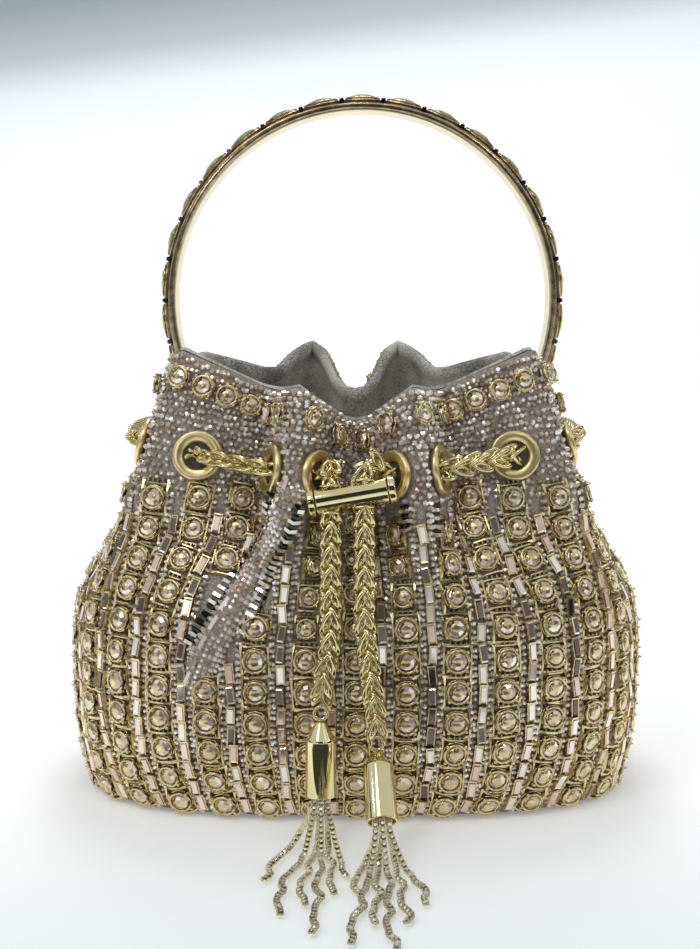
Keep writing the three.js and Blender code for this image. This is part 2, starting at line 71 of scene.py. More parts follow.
def frames_of(x: np.ndarray, y: np.ndarray, z: np.ndarray, origin: np.ndarray) -> np.ndarray:
    """Placing matrices from three axes and an origin for each copy.

    Args:
        x: First axes, one row for each copy.
        y: Second axes.
        z: Third axes.
        origin: Points the copies stand on.

    Returns:
        An array of 4 by 4 matrices.
    """
    made = np.zeros((len(origin), 4, 4))
    made[:, :3, 0], made[:, :3, 1], made[:, :3, 2], made[:, :3, 3] = x, y, z, origin
    made[:, 3, 3] = 1
    return made


def stand(z: np.ndarray, at: np.ndarray) -> np.ndarray:
    """Placing matrix of one copy, with Z along a direction."""
    x = unit(np.cross(np.array([0.1, -1, 0.05]), z))
    return frames_of(x, np.cross(z, x), z, at[None])


def travelled(points: np.ndarray) -> np.ndarray:
    """Distance covered along a row of points, at each of them."""
    return np.concatenate([[0], np.cumsum(np.linalg.norm(np.diff(points, axis=0), axis=1))])


def distance(seats: np.ndarray, points: np.ndarray) -> np.ndarray:
    """Distance of each placing matrix from the nearest of some points."""
    return np.linalg.norm(seats[:, None, :3, 3] - points[None], axis=2).min(axis=1)


def chance(seed: int, count: int) -> np.ndarray:
    """Numbers from 0 to 1 that are the same on every run."""
    return np.random.default_rng(seed).random(count)


class Graph:
    """Node tree of one material, with a Principled shader in its middle."""

    def __init__(self, name: str) -> None:
        """Makes the material and its two fixed nodes.

        Args:
            name: Name of the material.
        """
        self.material = bpy.data.materials.new(name)
        self.material.use_nodes = True
        self.tree = self.material.node_tree
        self.tree.nodes.clear()
        self.shader = self.node("ShaderNodeBsdfPrincipled")
        output = self.node("ShaderNodeOutputMaterial")
        self.link(self.shader.outputs["BSDF"], output.inputs["Surface"])

    def node(self, kind: str, **inputs: object) -> bpy.types.Node:
        """Adds a node.

        Args:
            kind: Blender's name for its type.
            inputs: Values of its sockets by name, with spaces written as underscores.

        Returns:
            The node.
        """
        made = self.tree.nodes.new(kind)
        for name, value in inputs.items():
            made.inputs[name.replace("_", " ")].default_value = value
        return made

    def link(self, start: bpy.types.NodeSocket, end: bpy.types.NodeSocket) -> None:
        """Joins two sockets."""
        self.tree.links.new(start, end)

    def set(self, **inputs: object) -> None:
        """Sets sockets of the Principled shader by name, with spaces written as underscores."""
        for name, value in inputs.items():
            self.shader.inputs[name.replace("_", " ")].default_value = value

    def noise(self, scale: float, detail: float = 2.0) -> bpy.types.NodeSocket:
        """Noise on Object coordinates.

        Args:
            scale: Waves to a metre.
            detail: Number of finer layers.

        Returns:
            The value socket.
        """
        made = self.node("ShaderNodeTexNoise", Scale=scale, Detail=detail)
        self.link(self.place(), made.inputs["Vector"])
        return made.outputs["Fac"]

    def place(self) -> bpy.types.NodeSocket:
        """Socket of the Object coordinates."""
        return self.node("ShaderNodeTexCoord").outputs["Object"]

    def calculate(self, kind: str, *values: bpy.types.NodeSocket | float) -> bpy.types.NodeSocket:
        """Result of a Math node.

        Args:
            kind: Blender's name for the operation.
            values: Sockets and numbers that go in.

        Returns:
            The value socket.
        """
        made = self.node("ShaderNodeMath")
        made.operation = kind
        for socket, value in zip(made.inputs, values):
            if isinstance(value, float):
                socket.default_value = value
            else:
                self.link(value, socket)
        return made.outputs["Value"]

    def ramp(self, factor: bpy.types.NodeSocket, stops: list[tuple[float, Colour]],
             stepped: bool = False) -> bpy.types.NodeSocket:
        """Colours picked by a factor.

        Args:
            factor: Socket that picks the colour.
            stops: Places from 0 to 1 and the colour at each.
            stepped: Whether the colours change at once instead of blending.

        Returns:
            The colour socket.
        """
        made = self.node("ShaderNodeValToRGB")
        band = made.color_ramp
        band.interpolation = "CONSTANT" if stepped else "LINEAR"
        while len(band.elements) < len(stops):
            band.elements.new(1.0)
        for element, (place, colour) in zip(band.elements, stops):
            element.position = place
            element.color = (*colour, 1)
        self.link(factor, made.inputs["Fac"])
        return made.outputs["Color"]

    def bump(self, height: bpy.types.NodeSocket, strength: float, distance: float) -> None:
        """Raises the surface.

        Args:
            height: Socket that holds the height.
            strength: Strength of the effect.
            distance: Height of the relief.
        """
        made = self.node("ShaderNodeBump", Strength=strength, Distance=distance)
        self.link(height, made.inputs["Height"])
        self.link(made.outputs["Normal"], self.shader.inputs["Normal"])


class Tone(Enum):
    """Colour families of the stones, as stops of a stepped ramp."""

    CHAMPAGNE = (
        (0.0, (0.68, 0.50, 0.38)), (0.22, (0.86, 0.70, 0.57)), (0.42, (0.46, 0.33, 0.26)),
        (0.54, (0.95, 0.86, 0.77)), (0.70, (0.74, 0.57, 0.46)), (0.90, (1.0, 0.97, 0.93)),
    )
    ROSE = (
        (0.0, (0.92, 0.74, 0.66)), (0.35, (0.98, 0.88, 0.82)), (0.6, (0.80, 0.58, 0.50)),
        (0.75, (0.94, 0.80, 0.74)), (0.88, (0.16, 0.11, 0.10)),
    )
    MAUVE = (
        (0.0, (0.70, 0.58, 0.46)), (0.3, (0.86, 0.75, 0.63)), (0.5, (0.48, 0.38, 0.30)),
        (0.68, (0.93, 0.85, 0.75)), (0.82, (1.0, 0.98, 0.94)),
    )
    SMOKE = (
        (0.0, (0.34, 0.29, 0.25)), (0.3, (0.50, 0.45, 0.40)), (0.5, (0.20, 0.165, 0.14)),
        (0.7, (0.78, 0.74, 0.70)), (0.82, (0.40, 0.34, 0.28)),
    )
    CITRINE = (
        (0.0, (0.86, 0.88, 0.12)), (0.3, (0.95, 0.92, 0.40)), (0.55, (0.42, 0.44, 0.06)),
        (0.75, (0.92, 0.84, 0.45)), (0.9, (0.66, 0.74, 0.16)),
    )


@dataclass(frozen=True)
class Gem:
    """Foiled glass stone: a mirror behind tinted facets."""

    name: str
    tone: Tone
    roughness: float = 0.06
    metallic: float = 0.85

    def build(self) -> bpy.types.Material:
        """Makes the material, in which the tone of each face picks its colour.

        Returns:
            The material.
        """
        graph = Graph(self.name)
        graph.set(Metallic=self.metallic, Roughness=self.roughness, Coat_Weight=0.6, Coat_Roughness=0.03)
        tone = graph.node("ShaderNodeAttribute")
        tone.attribute_name = "tone"
        colour = graph.ramp(tone.outputs["Fac"], list(self.tone.value), stepped=True)
        graph.link(colour, graph.shader.inputs["Base Color"])
        return graph.material


@dataclass(frozen=True)
class Metal:
    """Plated metal with a slightly uneven polish."""

    name: str
    colour: Colour
    shade: Colour
    roughness: float = 0.12
    wave: float = 0.15
    scale: float = 260.0
    metallic: float = 1.0

    def build(self) -> bpy.types.Material:
        """Makes the material.

        Returns:
            The material.
        """
        graph = Graph(self.name)
        graph.set(Metallic=self.metallic, Roughness=self.roughness)
        cloud = graph.noise(self.scale)
        colour = graph.ramp(cloud, [(0.35, self.shade), (0.65, self.colour)])
        graph.link(colour, graph.shader.inputs["Base Color"])
        graph.bump(cloud, self.wave, 0.0002)
        return graph.material


@dataclass(frozen=True)
class Velvet:
    """Short pile whose colour is lighter and darker in broad patches, which is painted sheen of brushed
    pile, over the fine grain of the pile.
    """

    name: str
    colour: Colour
    shade: Colour
    sheen: float = 0.8
    painted_sheen_patches: float = 70.0
    pile: float = 2600.0
    grain: float = 0.6

    def build(self) -> bpy.types.Material:
        """Makes the material.

        Returns:
            The material.
        """
        graph = Graph(self.name)
        graph.set(Roughness=0.95, Sheen_Weight=self.sheen, Sheen_Roughness=0.35,
                  Sheen_Tint=(*self.colour, 1))
        pile, painted_sheen_patches = graph.noise(self.pile, 1.0), graph.noise(self.painted_sheen_patches, 4.0)
        mix = graph.calculate("MULTIPLY_ADD", pile, self.grain, painted_sheen_patches)
        middle = 0.5 + self.grain / 2
        # From shade to colour: painted sheen in the broad patches, and the pile's own grain in the fine
        # noise.
        colour = graph.ramp(mix, [(middle - 0.16, self.shade), (middle + 0.14, self.colour)])
        graph.link(colour, graph.shader.inputs["Base Color"])
        graph.bump(graph.noise(self.pile, 3.0), 0.5, 0.0004)
        return graph.material


@dataclass(frozen=True)
class MeshCloth:
    """Dark metallic netting that carries the stones."""

    name: str
    colour: Colour
    shade: Colour
    metallic: float = 0.5
    cell: float = 1300.0

    def build(self) -> bpy.types.Material:
        """Makes the material.

        Returns:
            The material.
        """
        graph = Graph(self.name)
        graph.set(Metallic=self.metallic, Roughness=0.5)
        cells = graph.node("ShaderNodeTexVoronoi", Scale=self.cell)
        graph.link(graph.place(), cells.inputs["Vector"])
        colour = graph.ramp(cells.outputs["Distance"], [(0.1, self.colour), (0.6, self.shade)])
        graph.link(colour, graph.shader.inputs["Base Color"])
        graph.bump(cells.outputs["Distance"], 0.6, 0.0005)
        return graph.material


@dataclass(frozen=True)
class Plain:
    """Even matt surface, for the board and the studio."""

    name: str
    colour: Colour
    roughness: float = 0.9
    glow: float = 0.0

    def build(self) -> bpy.types.Material:
        """Makes the material.

        Returns:
            The material.
        """
        graph = Graph(self.name)
        graph.set(Base_Color=(*self.colour, 1), Roughness=self.roughness, Specular_IOR_Level=0.2,
                  Emission_Color=(*self.colour, 1), Emission_Strength=self.glow)
        return graph.material


@dataclass(frozen=True)
class Backdrop:
    """White sweep with painted shade, grey blue towards its top and a little darker on the floor in front,
    and a glow of painted light.
    """

    name: str = "backdrop"
    # Painted shade: the sweep darkens to grey blue towards its top, slanted across by lean.
    stops: tuple[tuple[float, Colour], ...] = (
        (0.295, (0.99, 0.995, 0.995)), (0.335, (0.84, 0.92, 0.95)), (0.365, (0.53, 0.60, 0.61)),
        (0.41, (0.33, 0.39, 0.40)),
    )
    lean: float = -0.12
    # Glow: painted light that lifts the whole sweep, the shadows on it too.
    glow: float = 0.2
    # Floor ramp: painted shade on the floor in front of the bag.
    floor: tuple[tuple[float, Colour], ...] = ((0.34, (0.78, 0.82, 0.83)), (0.46, (1.0, 1.0, 1.0)))
    floor_shift: float = 0.5

    def build(self) -> bpy.types.Material:
        """Makes the material, whose painted shade follows the height, and on the floor the distance.

        Returns:
            The material.
        """
        graph = Graph(self.name)
        split = graph.node("ShaderNodeSeparateXYZ")
        graph.link(graph.place(), split.inputs["Vector"])
        x, y, z = split.outputs
        high = graph.calculate("MULTIPLY_ADD", x, self.lean, z)
        far = graph.calculate("ADD", y, self.floor_shift)
        both = graph.node("ShaderNodeVectorMath")
        both.operation = "MULTIPLY"
        graph.link(graph.ramp(high, list(self.stops)), both.inputs[0])
        graph.link(graph.ramp(far, list(self.floor)), both.inputs[1])
        for socket in ("Base Color", "Emission Color"):
            graph.link(both.outputs["Vector"], graph.shader.inputs[socket])
        graph.set(Roughness=1.0, Specular_IOR_Level=0.0, Emission_Strength=self.glow)
        return graph.material


class Palette:
    """Every finish of the bag, made once."""

    def __init__(self) -> None:
        """Builds the materials."""
        self.crystal = Gem("crystal", Tone.CHAMPAGNE, metallic=0.65).build()
        self.baguette = Gem("baguette", Tone.ROSE, roughness=0.1, metallic=0.9).build()
        self.pave = Gem("pave", Tone.MAUVE, roughness=0.22, metallic=0.6).build()
        self.citrine = Gem("citrine", Tone.CITRINE, roughness=0.08).build()
        self.fringe_stone = Gem("fringe_stone", Tone.SMOKE, roughness=0.12).build()
        self.cup = Metal("cup_metal", (0.90, 0.75, 0.43), (0.66, 0.53, 0.29), 0.26, 0.3, 500.0).build()
        self.bar = Metal("bar_metal", (0.66, 0.57, 0.38), (0.43, 0.37, 0.25), 0.38, 0.3, 500.0).build()
        # Pale and near-black setting metal: painted light and painted shade on the side walls of the
        # settings. The near-black one is also painted shade in the hoop's notches.
        self.lit_setting = Metal("painted_lit_setting", (0.90, 0.88, 0.80), (0.72, 0.70, 0.60), 0.16).build()
        self.painted_shade = Metal("painted_shade_setting", (0.10, 0.10, 0.085), (0.05, 0.05, 0.045), 0.2).build()
        self.gold = Metal("polished_gold", (0.95, 0.83, 0.47), (0.90, 0.77, 0.42), 0.06, 0.04).build()
        self.satin = Metal("satin_gold", (0.97, 0.79, 0.42), (0.89, 0.69, 0.34), 0.3).build()
        self.chain = Metal("chain_gold", (0.90, 0.76, 0.42), (0.72, 0.60, 0.30), 0.14).build()
        self.fringe = Metal("fringe_gold", (1.0, 0.95, 0.72), (0.92, 0.84, 0.58), 0.3, 0.1, 120.0,
                            metallic=0.55).build()
        self.hoop = Metal("hoop_gold", (0.66, 0.51, 0.32), (0.36, 0.27, 0.16), 0.2, 0.3, 320.0).build()
        self.hoop_inside = Metal("hoop_inside", (0.88, 0.76, 0.52), (0.80, 0.68, 0.45), 0.3).build()
        self.net = MeshCloth("stone_net", (0.50, 0.42, 0.34), (0.30, 0.25, 0.20), 0.3).build()
        self.velvet = Velvet("velvet", (0.56, 0.53, 0.485), (0.17, 0.155, 0.135), 0.35, 60.0, 1700.0).build()
        self.base = Velvet("base_cloth", (0.26, 0.23, 0.21), (0.20, 0.18, 0.16), 0.3).build()
        # Dark board, also used as painted shade in the bores of the eyelets.
        self.board = Plain("board", (0.09, 0.085, 0.08)).build()


class Stencil:
    """Small shape that is repeated many times, drawn with bmesh operators."""

    def __init__(self) -> None:
        """Starts empty."""
        self.bm = bmesh.new()

    def _dress(self, first: int, slot: int, smooth: bool, place: Matrix | None = None) -> None:
        """Moves the newest corners and gives their faces a slot.

        Args:
            first: How many corners there were before the newest.
            slot: Material slot of the faces.
            smooth: Whether the faces are shaded smooth.
            place: Matrix that the newest corners are moved by.
        """
        self.bm.verts.ensure_lookup_table()
        new = [self.bm.verts[i] for i in range(first, len(self.bm.verts))]
        if place is not None:
            bmesh.ops.transform(self.bm, matrix=place, verts=new)
        for face in {f for v in new for f in v.link_faces}:
            face.material_index = slot
            face.smooth = smooth

    def box(self, size: Point, at: Point = (0, 0, 0), slot: int = 0, taper: float = 1.0) -> "Stencil":
        """Block standing on its place, whose top may be smaller than its foot.

        Args:
            size: Width, length and height.
            at: Middle of the foot.
            slot: Material slot.
            taper: Size of the top as a share of the foot.

        Returns:
            The stencil itself.
        """
        first = len(self.bm.verts)
        place = Matrix.Translation((at[0], at[1], at[2] + size[2] / 2)) @ Matrix.Diagonal((*size, 1))
        made = bmesh.ops.create_cube(self.bm, size=1, matrix=place)["verts"]
        middle = at[2] + size[2] / 2
        for corner in made:
            if corner.co.z > middle:
                corner.co.x = at[0] + (corner.co.x - at[0]) * taper
                corner.co.y = at[1] + (corner.co.y - at[1]) * taper
        self._dress(first, slot, False)
        return self

    def cone(self, radii: tuple[float, float], depth: float, at: float = 0, slot: int = 0,
             sides: int = 8, turn: float = 0, stretch: float = 1) -> "Stencil":
        """Faceted cone or drum standing on a height.

        Args:
            radii: Radius of the foot and of the top.
            depth: Height of the cone.
            at: Height it stands on.
            slot: Material slot.
            sides: Number of sides.
            turn: Turn about its axis, in degrees.
            stretch: Length along Y as a share of its width.

        Returns:
            The stencil itself.
        """
        first = len(self.bm.verts)
        bmesh.ops.create_cone(self.bm, cap_ends=True, segments=sides, radius1=radii[0],
                              radius2=radii[1], depth=depth)
        place = Matrix.Translation((0, 0, at + depth / 2)) @ Matrix.Diagonal((1, stretch, 1, 1))
        self._dress(first, slot, False, place @ Matrix.Rotation(math.radians(turn), 4, "Z"))
        return self

    def ring(self, radius: float, wire: float, place: Matrix | None = None, slot: int = 0,
             around: int = 12, section: int = 4, stretch: float = 1) -> "Stencil":
        """Closed ring of round wire in the XY plane.

        Args:
            radius: Radius of the wire's middle.
            wire: Radius of the wire.
            place: Matrix that turns and moves the ring.
            slot: Material slot.
            around: Steps round the ring.
            section: Sides of the wire.
            stretch: Length along Y as a share of the width.

        Returns:
            The stencil itself.
        """
        first = len(self.bm.verts)
        stand = Matrix.Translation((radius, 0, 0)) @ Matrix.Rotation(math.pi / 2, 4, "X")
        made = bmesh.ops.create_circle(self.bm, segments=section, radius=wire, matrix=stand)["verts"]
        edges = list({e for v in made for e in v.link_edges})
        bmesh.ops.spin(self.bm, geom=made + edges, cent=(0, 0, 0), axis=(0, 0, 1),
                       angle=2 * math.pi, steps=around, use_merge=True)
        scale = Matrix.Diagonal((1, stretch, 1, 1))
        self._dress(first, slot, True, (place or Matrix.Identity(4)) @ scale)
        return self

    def ball(self, radius: float, at: Point, slot: int = 0) -> "Stencil":
        """Small ball of twenty faces.

        Args:
            radius: Its radius.
            at: Its middle.
            slot: Material slot.

        Returns:
            The stencil itself.
        """
        first = len(self.bm.verts)
        bmesh.ops.create_icosphere(self.bm, subdivisions=1, radius=radius, matrix=Matrix.Translation(at))
        self._dress(first, slot, True)
        return self

    def turned(self, profile: list[tuple[float, float]], around: int, slot: int = 0,
               smooth: bool = True) -> "Stencil":
        """Piece turned about Z from pairs of radius and height.

        Args:
            profile: Pairs, which close on themselves or on the axis.
            around: Steps round the axis.
            slot: Material slot.
            smooth: Whether the faces are shaded smooth.

        Returns:
            The stencil itself.
        """
        first = len(self.bm.verts)
        corners = [self.bm.verts.new((r, 0, h)) for r, h in profile]
        edges = [self.bm.edges.new(pair) for pair in zip(corners, corners[1:])]
        if profile[0][0] > 0:
            edges.append(self.bm.edges.new((corners[-1], corners[0])))
        bmesh.ops.spin(self.bm, geom=corners + edges, cent=(0, 0, 0), axis=(0, 0, 1),
                       angle=2 * math.pi, steps=around, use_merge=True)
        bmesh.ops.remove_doubles(self.bm, verts=self.bm.verts[first:], dist=1e-7)
        self._dress(first, slot, smooth)
        return self

    def arrays(self) -> tuple[np.ndarray, list[list[int]], np.ndarray, np.ndarray]:
        """Turns every face outwards and reads the shape.

        Returns:
            Corners, faces as rows of corner numbers, and the slot and smoothness of each face.
        """
        bmesh.ops.recalc_face_normals(self.bm, faces=self.bm.faces)
        self.bm.verts.index_update()
        points = np.array([v.co[:] for v in self.bm.verts])
        faces = [[v.index for v in f.verts] for f in self.bm.faces]
        slots = np.array([f.material_index for f in self.bm.faces])
        smooth = np.array([f.smooth for f in self.bm.faces])
        return points, faces, slots, smooth


def put(name: str, mesh: bpy.types.Mesh, materials: list[bpy.types.Material]) -> bpy.types.Object:
    """Shows a mesh as an object at the origin.

    Args:
        name: Name of the object.
        mesh: Its mesh.
        materials: Materials in the order of its slots.

    Returns:
        The object.
    """
    for material in materials:
        mesh.materials.append(material)
    made = bpy.data.objects.new(name, mesh)
    bpy.context.scene.collection.objects.link(made)
    return made


def tile(name: str, stencil: Stencil, places: np.ndarray, materials: list[bpy.types.Material],
         tones: np.ndarray | None = None, facets: float = 0.0) -> bpy.types.Object:
    """One object with a copy of a stencil at every place.

    Args:
        name: Name of the object.
        stencil: Shape to repeat, in millimetres.
        places: A 4 by 4 matrix for each copy, in metres.
        materials: Materials in the order of the stencil's slots.
        tones: A number from 0 to 1 for each copy, which picks the colour of its stone.
        facets: How far the facets of one stone differ in tone.

    Returns:
        The object.
    """
    points, faces, slots, smooth = stencil.arrays()
    count = len(places)
    placed = np.einsum("nij,vj->nvi", places[:, :3, :3] * MM, points) + places[:, None, :3, 3]
    sizes = np.array([len(f) for f in faces])
    flat = np.concatenate([np.array(f) for f in faces])
    mesh = bpy.data.meshes.new(name)
    mesh.vertices.add(count * len(points))
    mesh.vertices.foreach_set("co", placed.astype(np.float32).ravel())
    mesh.loops.add(count * len(flat))
    shift = np.arange(count)[:, None] * len(points)
    mesh.loops.foreach_set("vertex_index", (flat[None] + shift).astype(np.int32).ravel())
    mesh.polygons.add(count * len(faces))
    starts = np.concatenate([[0], np.cumsum(np.tile(sizes, count))[:-1]])
    mesh.polygons.foreach_set("loop_start", starts.astype(np.int32))
    mesh.polygons.foreach_set("material_index", np.tile(slots, count).astype(np.int32))
    mesh.polygons.foreach_set("use_smooth", np.tile(smooth, count))
    mesh.update(calc_edges=True)
    if tones is not None:
        spread = np.random.default_rng(count).random((count, len(faces))) * facets
        tone = mesh.attributes.new("tone", "FLOAT", "FACE")
        tone.data.foreach_set("value", np.mod(tones[:, None] + spread, 1).astype(np.float32).ravel())
    return put(name, mesh, materials)


def grid(name: str, rows: np.ndarray, materials: list[bpy.types.Material], closed: bool = True,
         outwards: bool = True) -> bpy.types.Object:
    """Smooth surface through rows of points.

    Args:
        name: Name of the object.
        rows: Points as rows by columns by three.
        materials: Its materials.
        closed: Whether the last column joins the first.
        outwards: Whether the faces keep the order of rows and columns or are turned round.

    Returns:
        The object.
    """
    high, wide = rows.shape[:2]
    bm = bmesh.new()
    corners = [bm.verts.new(p) for p in rows.reshape(-1, 3)]
    for i in range(high - 1):
        for j in range(wide if closed else wide - 1):
            k = (j + 1) % wide
            loop = [i * wide + j, i * wide + k, (i + 1) * wide + k, (i + 1) * wide + j]
            face = bm.faces.new([corners[n] for n in (loop if outwards else loop[::-1])])
            face.smooth = True
    mesh = bpy.data.meshes.new(name)
    bm.to_mesh(mesh)
    bm.free()
    return put(name, mesh, materials)


def settle(piece: bpy.types.Object, body: str, stands_for: list[str] = ()) -> bpy.types.Object:
    """Ties a piece to its CAD body and the nodes that it stands for, and reports it.

    Args:
        piece: The piece, in its place.
        body: CAD body it moves with.
        stands_for: CAD nodes that aren't shown any more.

    Returns:
        The piece.
    """
    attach(piece, body)
    if stands_for:
        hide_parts(*stands_for)
    log.info("%s: %d faces on %s", piece.name, len(piece.data.polygons), body)
    return piece


def sew(name: str, stencil: Stencil, places: np.ndarray, materials: list[bpy.types.Material],
        tones: np.ndarray | None = None, facets: float = 0.0) -> None:
    """One object of the outer cloth, with a copy of a stencil at every place.

    Args:
        name: Name of the object.
        stencil: Shape to repeat.
        places: A 4 by 4 matrix for each copy.
        materials: Materials in the order of the stencil's slots.
        tones: A number from 0 to 1 for each copy.
        facets: How far the facets of one stone differ in tone.
    """
    settle(tile(name, stencil, places, materials, tones, facets), "root")


def flatten(piece: bpy.types.Object) -> None:
    """Keeps flat sides flat next to rounded edges."""
    piece.modifiers.new("flat_sides", "WEIGHTED_NORMAL").keep_sharp = False


def small_stone(foot: float) -> Stencil:
    """Small six-sided stone that stands on a height."""
    return Stencil().cone((0.78, 0.42), 0.85, foot, 0, 6)


def rung(lit_wall: Point, painted_shade: Point, taper: float) -> Stencil:
    """Lit and shaded side wall of two neighbouring settings, of given sizes, with the light and the shade
    painted into two slots.
    """
    return Stencil().box(lit_wall, slot=0, taper=taper).box(painted_shade, (0, 1.15, 0), 1, taper)


@dataclass(frozen=True)
class Line:
    """Smooth line through points, as the CAD part draws its cords."""

    points: np.ndarray
    pitch: float

    def _fine(self) -> np.ndarray:
        """Points of a centripetal curve through the line's own, in many short steps.

        Returns:
            Rows of three coordinates.
        """
        p = self.points
        ends = np.vstack([2 * p[0] - p[1], p, 2 * p[-1] - p[-2]])
        parts = []
        for four in zip(ends, ends[1:], ends[2:], ends[3:]):
            gaps = [max(np.linalg.norm(v - u) ** 0.5, 1e-6) for u, v in zip(four, four[1:])]
            knots = np.cumsum([0, *gaps])
            t = np.linspace(knots[1], knots[2], CURVE_STEPS, endpoint=False)[:, None]
            row = list(four)
            for spans in CURVE_SPANS:
                row = [((knots[e] - t) * row[i] + (t - knots[s]) * row[i + 1]) / (knots[e] - knots[s])
                       for i, (s, e) in enumerate(spans)]
            parts.append(row[0])
        return np.vstack([*parts, p[-1:]])

    def stations(self) -> np.ndarray:
        """Points along the line, a pitch apart.

        Returns:
            Rows of three coordinates.
        """
        fine = self._fine()
        covered = travelled(fine)
        wanted = np.linspace(0, covered[-1], max(2, round(covered[-1] / self.pitch) + 1))
        return np.stack([np.interp(wanted, covered, fine[:, k]) for k in range(3)], axis=1)

    def frames(self, front: Point = (0, -1, 0), steady: bool = False) -> np.ndarray:
        """Placing matrices along the line: Z along it, and -Y towards the front.

        Args:
            front: Direction that -Y starts towards.
            steady: Whether every copy looks to the front, or each follows the one before it.

        Returns:
            A 4 by 4 matrix for each station.
        """
        at = self.stations()
        ahead = unit(np.gradient(at, axis=0))
        start = back = -np.array(front, float)
        ys = []
        for direction in ahead:
            towards = start if steady else back
            back = unit(towards - direction * np.dot(towards, direction))
            ys.append(back)
        y = np.array(ys)
        return frames_of(np.cross(y, ahead), y, ahead, at)

    def trace(self) -> list[list[float]]:
        """Points a millimetre apart along the line."""
        return Line(self.points, MM).stations().tolist()

    def length(self) -> float:
        """Length of the line."""
        return float(travelled(np.array(self.trace()))[-1])


@dataclass(frozen=True)
class BodyShape:
    """Gathered cloth of the body.

    A place on it is a step round it, counted from the middle of the front, and a level. Levels
    are heights up to the neck, and above it they run up to the rim, which is at the level
    mouth_height all round. The gather fields are alike on both sides.
    """

    base: tuple[float, float] = (0.0755, 0.0515)
    belly: tuple[float, float] = (0.080, 0.062)
    neck: tuple[float, float] = (0.0655, 0.051)
    mouth: tuple[float, float] = (0.0512, 0.042)
    belly_height: float = 0.042
    neck_height: float = 0.086
    mouth_height: float = 0.127
    power: float = 2.9
    fullness: float = 2.8
    shoulder: float = 1.3
    steps: int = 72
    gather_start: float = 0.052
    gather_push: float = 0.0105
    rim_drop: float = 0.020
    softness: float = 0.4
    gather_steps: tuple[float, ...] = (0, 2.8, 3.3, 5, 11, 14, 22, 25, 30, 31.8, 33, 34.1, 35.2, 36)
    pushes: tuple[float, ...] = (-1, 1, 1, -0.8, 0.6, -0.18, -0.18, 0.6, -0.7, 0.2, 0.85, 0.25, -0.7, -0.9)
    drops: tuple[float, ...] = (1.05, 0.5, 0.5, 0.6, 0, 1.05, 1.05, 0.15, 0.45, 0.09, 0, 0.1, 0.7, 0.78)

    def half(self, z: np.ndarray) -> tuple[np.ndarray, np.ndarray]:
        """Size of the ungathered cloth.

        Args:
            z: Heights.

        Returns:
            Half width and half depth at each height.
        """
        rise = 1 - (1 - np.clip(z / self.belly_height, 0, 1)) ** self.fullness
        span = self.neck_height - self.belly_height
        climb = np.clip((z - self.belly_height) / span, 0, 1) ** self.shoulder
        draw = (1 - np.cos(climb * math.pi)) / 2
        top = np.maximum((z - self.neck_height) / (self.mouth_height - self.neck_height), 0)
        sizes = []
        for base, belly, neck, mouth in zip(self.base, self.belly, self.neck, self.mouth):
            low = base + (belly - base) * rise
            sizes.append(low + (neck - belly) * draw + (mouth - neck) * top)
        return sizes[0], sizes[1]

    def outline(self, angle: np.ndarray, width: np.ndarray, depth: np.ndarray) -> np.ndarray:
        """Points of the ungathered outline.

        Args:
            angle: Angles from the front.
            width: Half widths.
            depth: Half depths.

        Returns:
            Rows of x and y.
        """
        across = np.abs(np.sin(angle)) / width
        along = np.abs(np.cos(angle)) / depth
        radius = (across**self.power + along**self.power) ** (-1 / self.power)
        return np.stack([radius * np.sin(angle), -radius * np.cos(angle)], axis=-1)

    def angle(self, step: np.ndarray) -> np.ndarray:
        """Angle from the front at each step, with equal lengths of belly cloth between steps.

        Args:
            step: Steps.

        Returns:
            Angles.
        """
        fine = np.linspace(0, 2 * math.pi, 3601)
        covered = travelled(self.outline(fine, *self.belly))
        share = np.mod(step, self.steps) / self.steps
        return np.interp(share * covered[-1], covered, fine)

    def gather(self, step: np.ndarray, values: tuple[float, ...]) -> np.ndarray:
        """One gather field, softened a little.

        Args:
            step: Steps.
            values: Values of the field at gather_steps.

        Returns:
            Value at each step.
        """
        total = 0
        for shift, weight in ((-self.softness, 0.25), (0, 0.5), (self.softness, 0.25)):
            turned = np.mod(step + shift, self.steps)
            near = np.minimum(turned, self.steps - turned)
            total = total + weight * np.interp(near, self.gather_steps, values)
        return total

    def rim(self, step: np.ndarray) -> np.ndarray:
        """Height of the rim at each step."""
        return self.mouth_height - self.rim_drop * self.gather(step, self.drops)

    def level_at(self, step: np.ndarray, height: np.ndarray) -> np.ndarray:
        """Levels of places above the neck.

        Args:
            step: Steps of the places.
            height: Their heights.

        Returns:
            Their levels.
        """
        share = (height - self.neck_height) / (self.rim(step) - self.neck_height)
        return self.neck_height + share * (self.mouth_height - self.neck_height)

    def cloth(self, step: np.ndarray, level: np.ndarray) -> np.ndarray:
        """Points of the cloth's outer face.

        Args:
            step: Steps.
            level: Levels, of the same shape or one for all.

        Returns:
            A point for each place.
        """
        step, level = np.broadcast_arrays(np.asarray(step, float), np.asarray(level, float))
        share = (level - self.neck_height) / (self.mouth_height - self.neck_height)
        high = self.neck_height + (self.rim(step) - self.neck_height) * share
        z = np.where(share <= 0, level, high)
        width, depth = self.half(z)
        point = self.outline(self.angle(step), width, depth)
        pull = [np.sign(v) * np.abs(v / half) ** (self.power - 1) / half
                for v, half in ((point[..., 0], width), (point[..., 1], depth))]
        normal = unit(np.stack(pull, axis=-1))
        grown = np.clip((z - self.gather_start) / (self.neck_height - self.gather_start), 0, 1)
        strength = grown * grown * (3 - 2 * grown)
        push = self.gather_push * self.gather(step, self.pushes) * strength
        return np.concatenate([point + normal * push[..., None], z[..., None]], axis=-1)

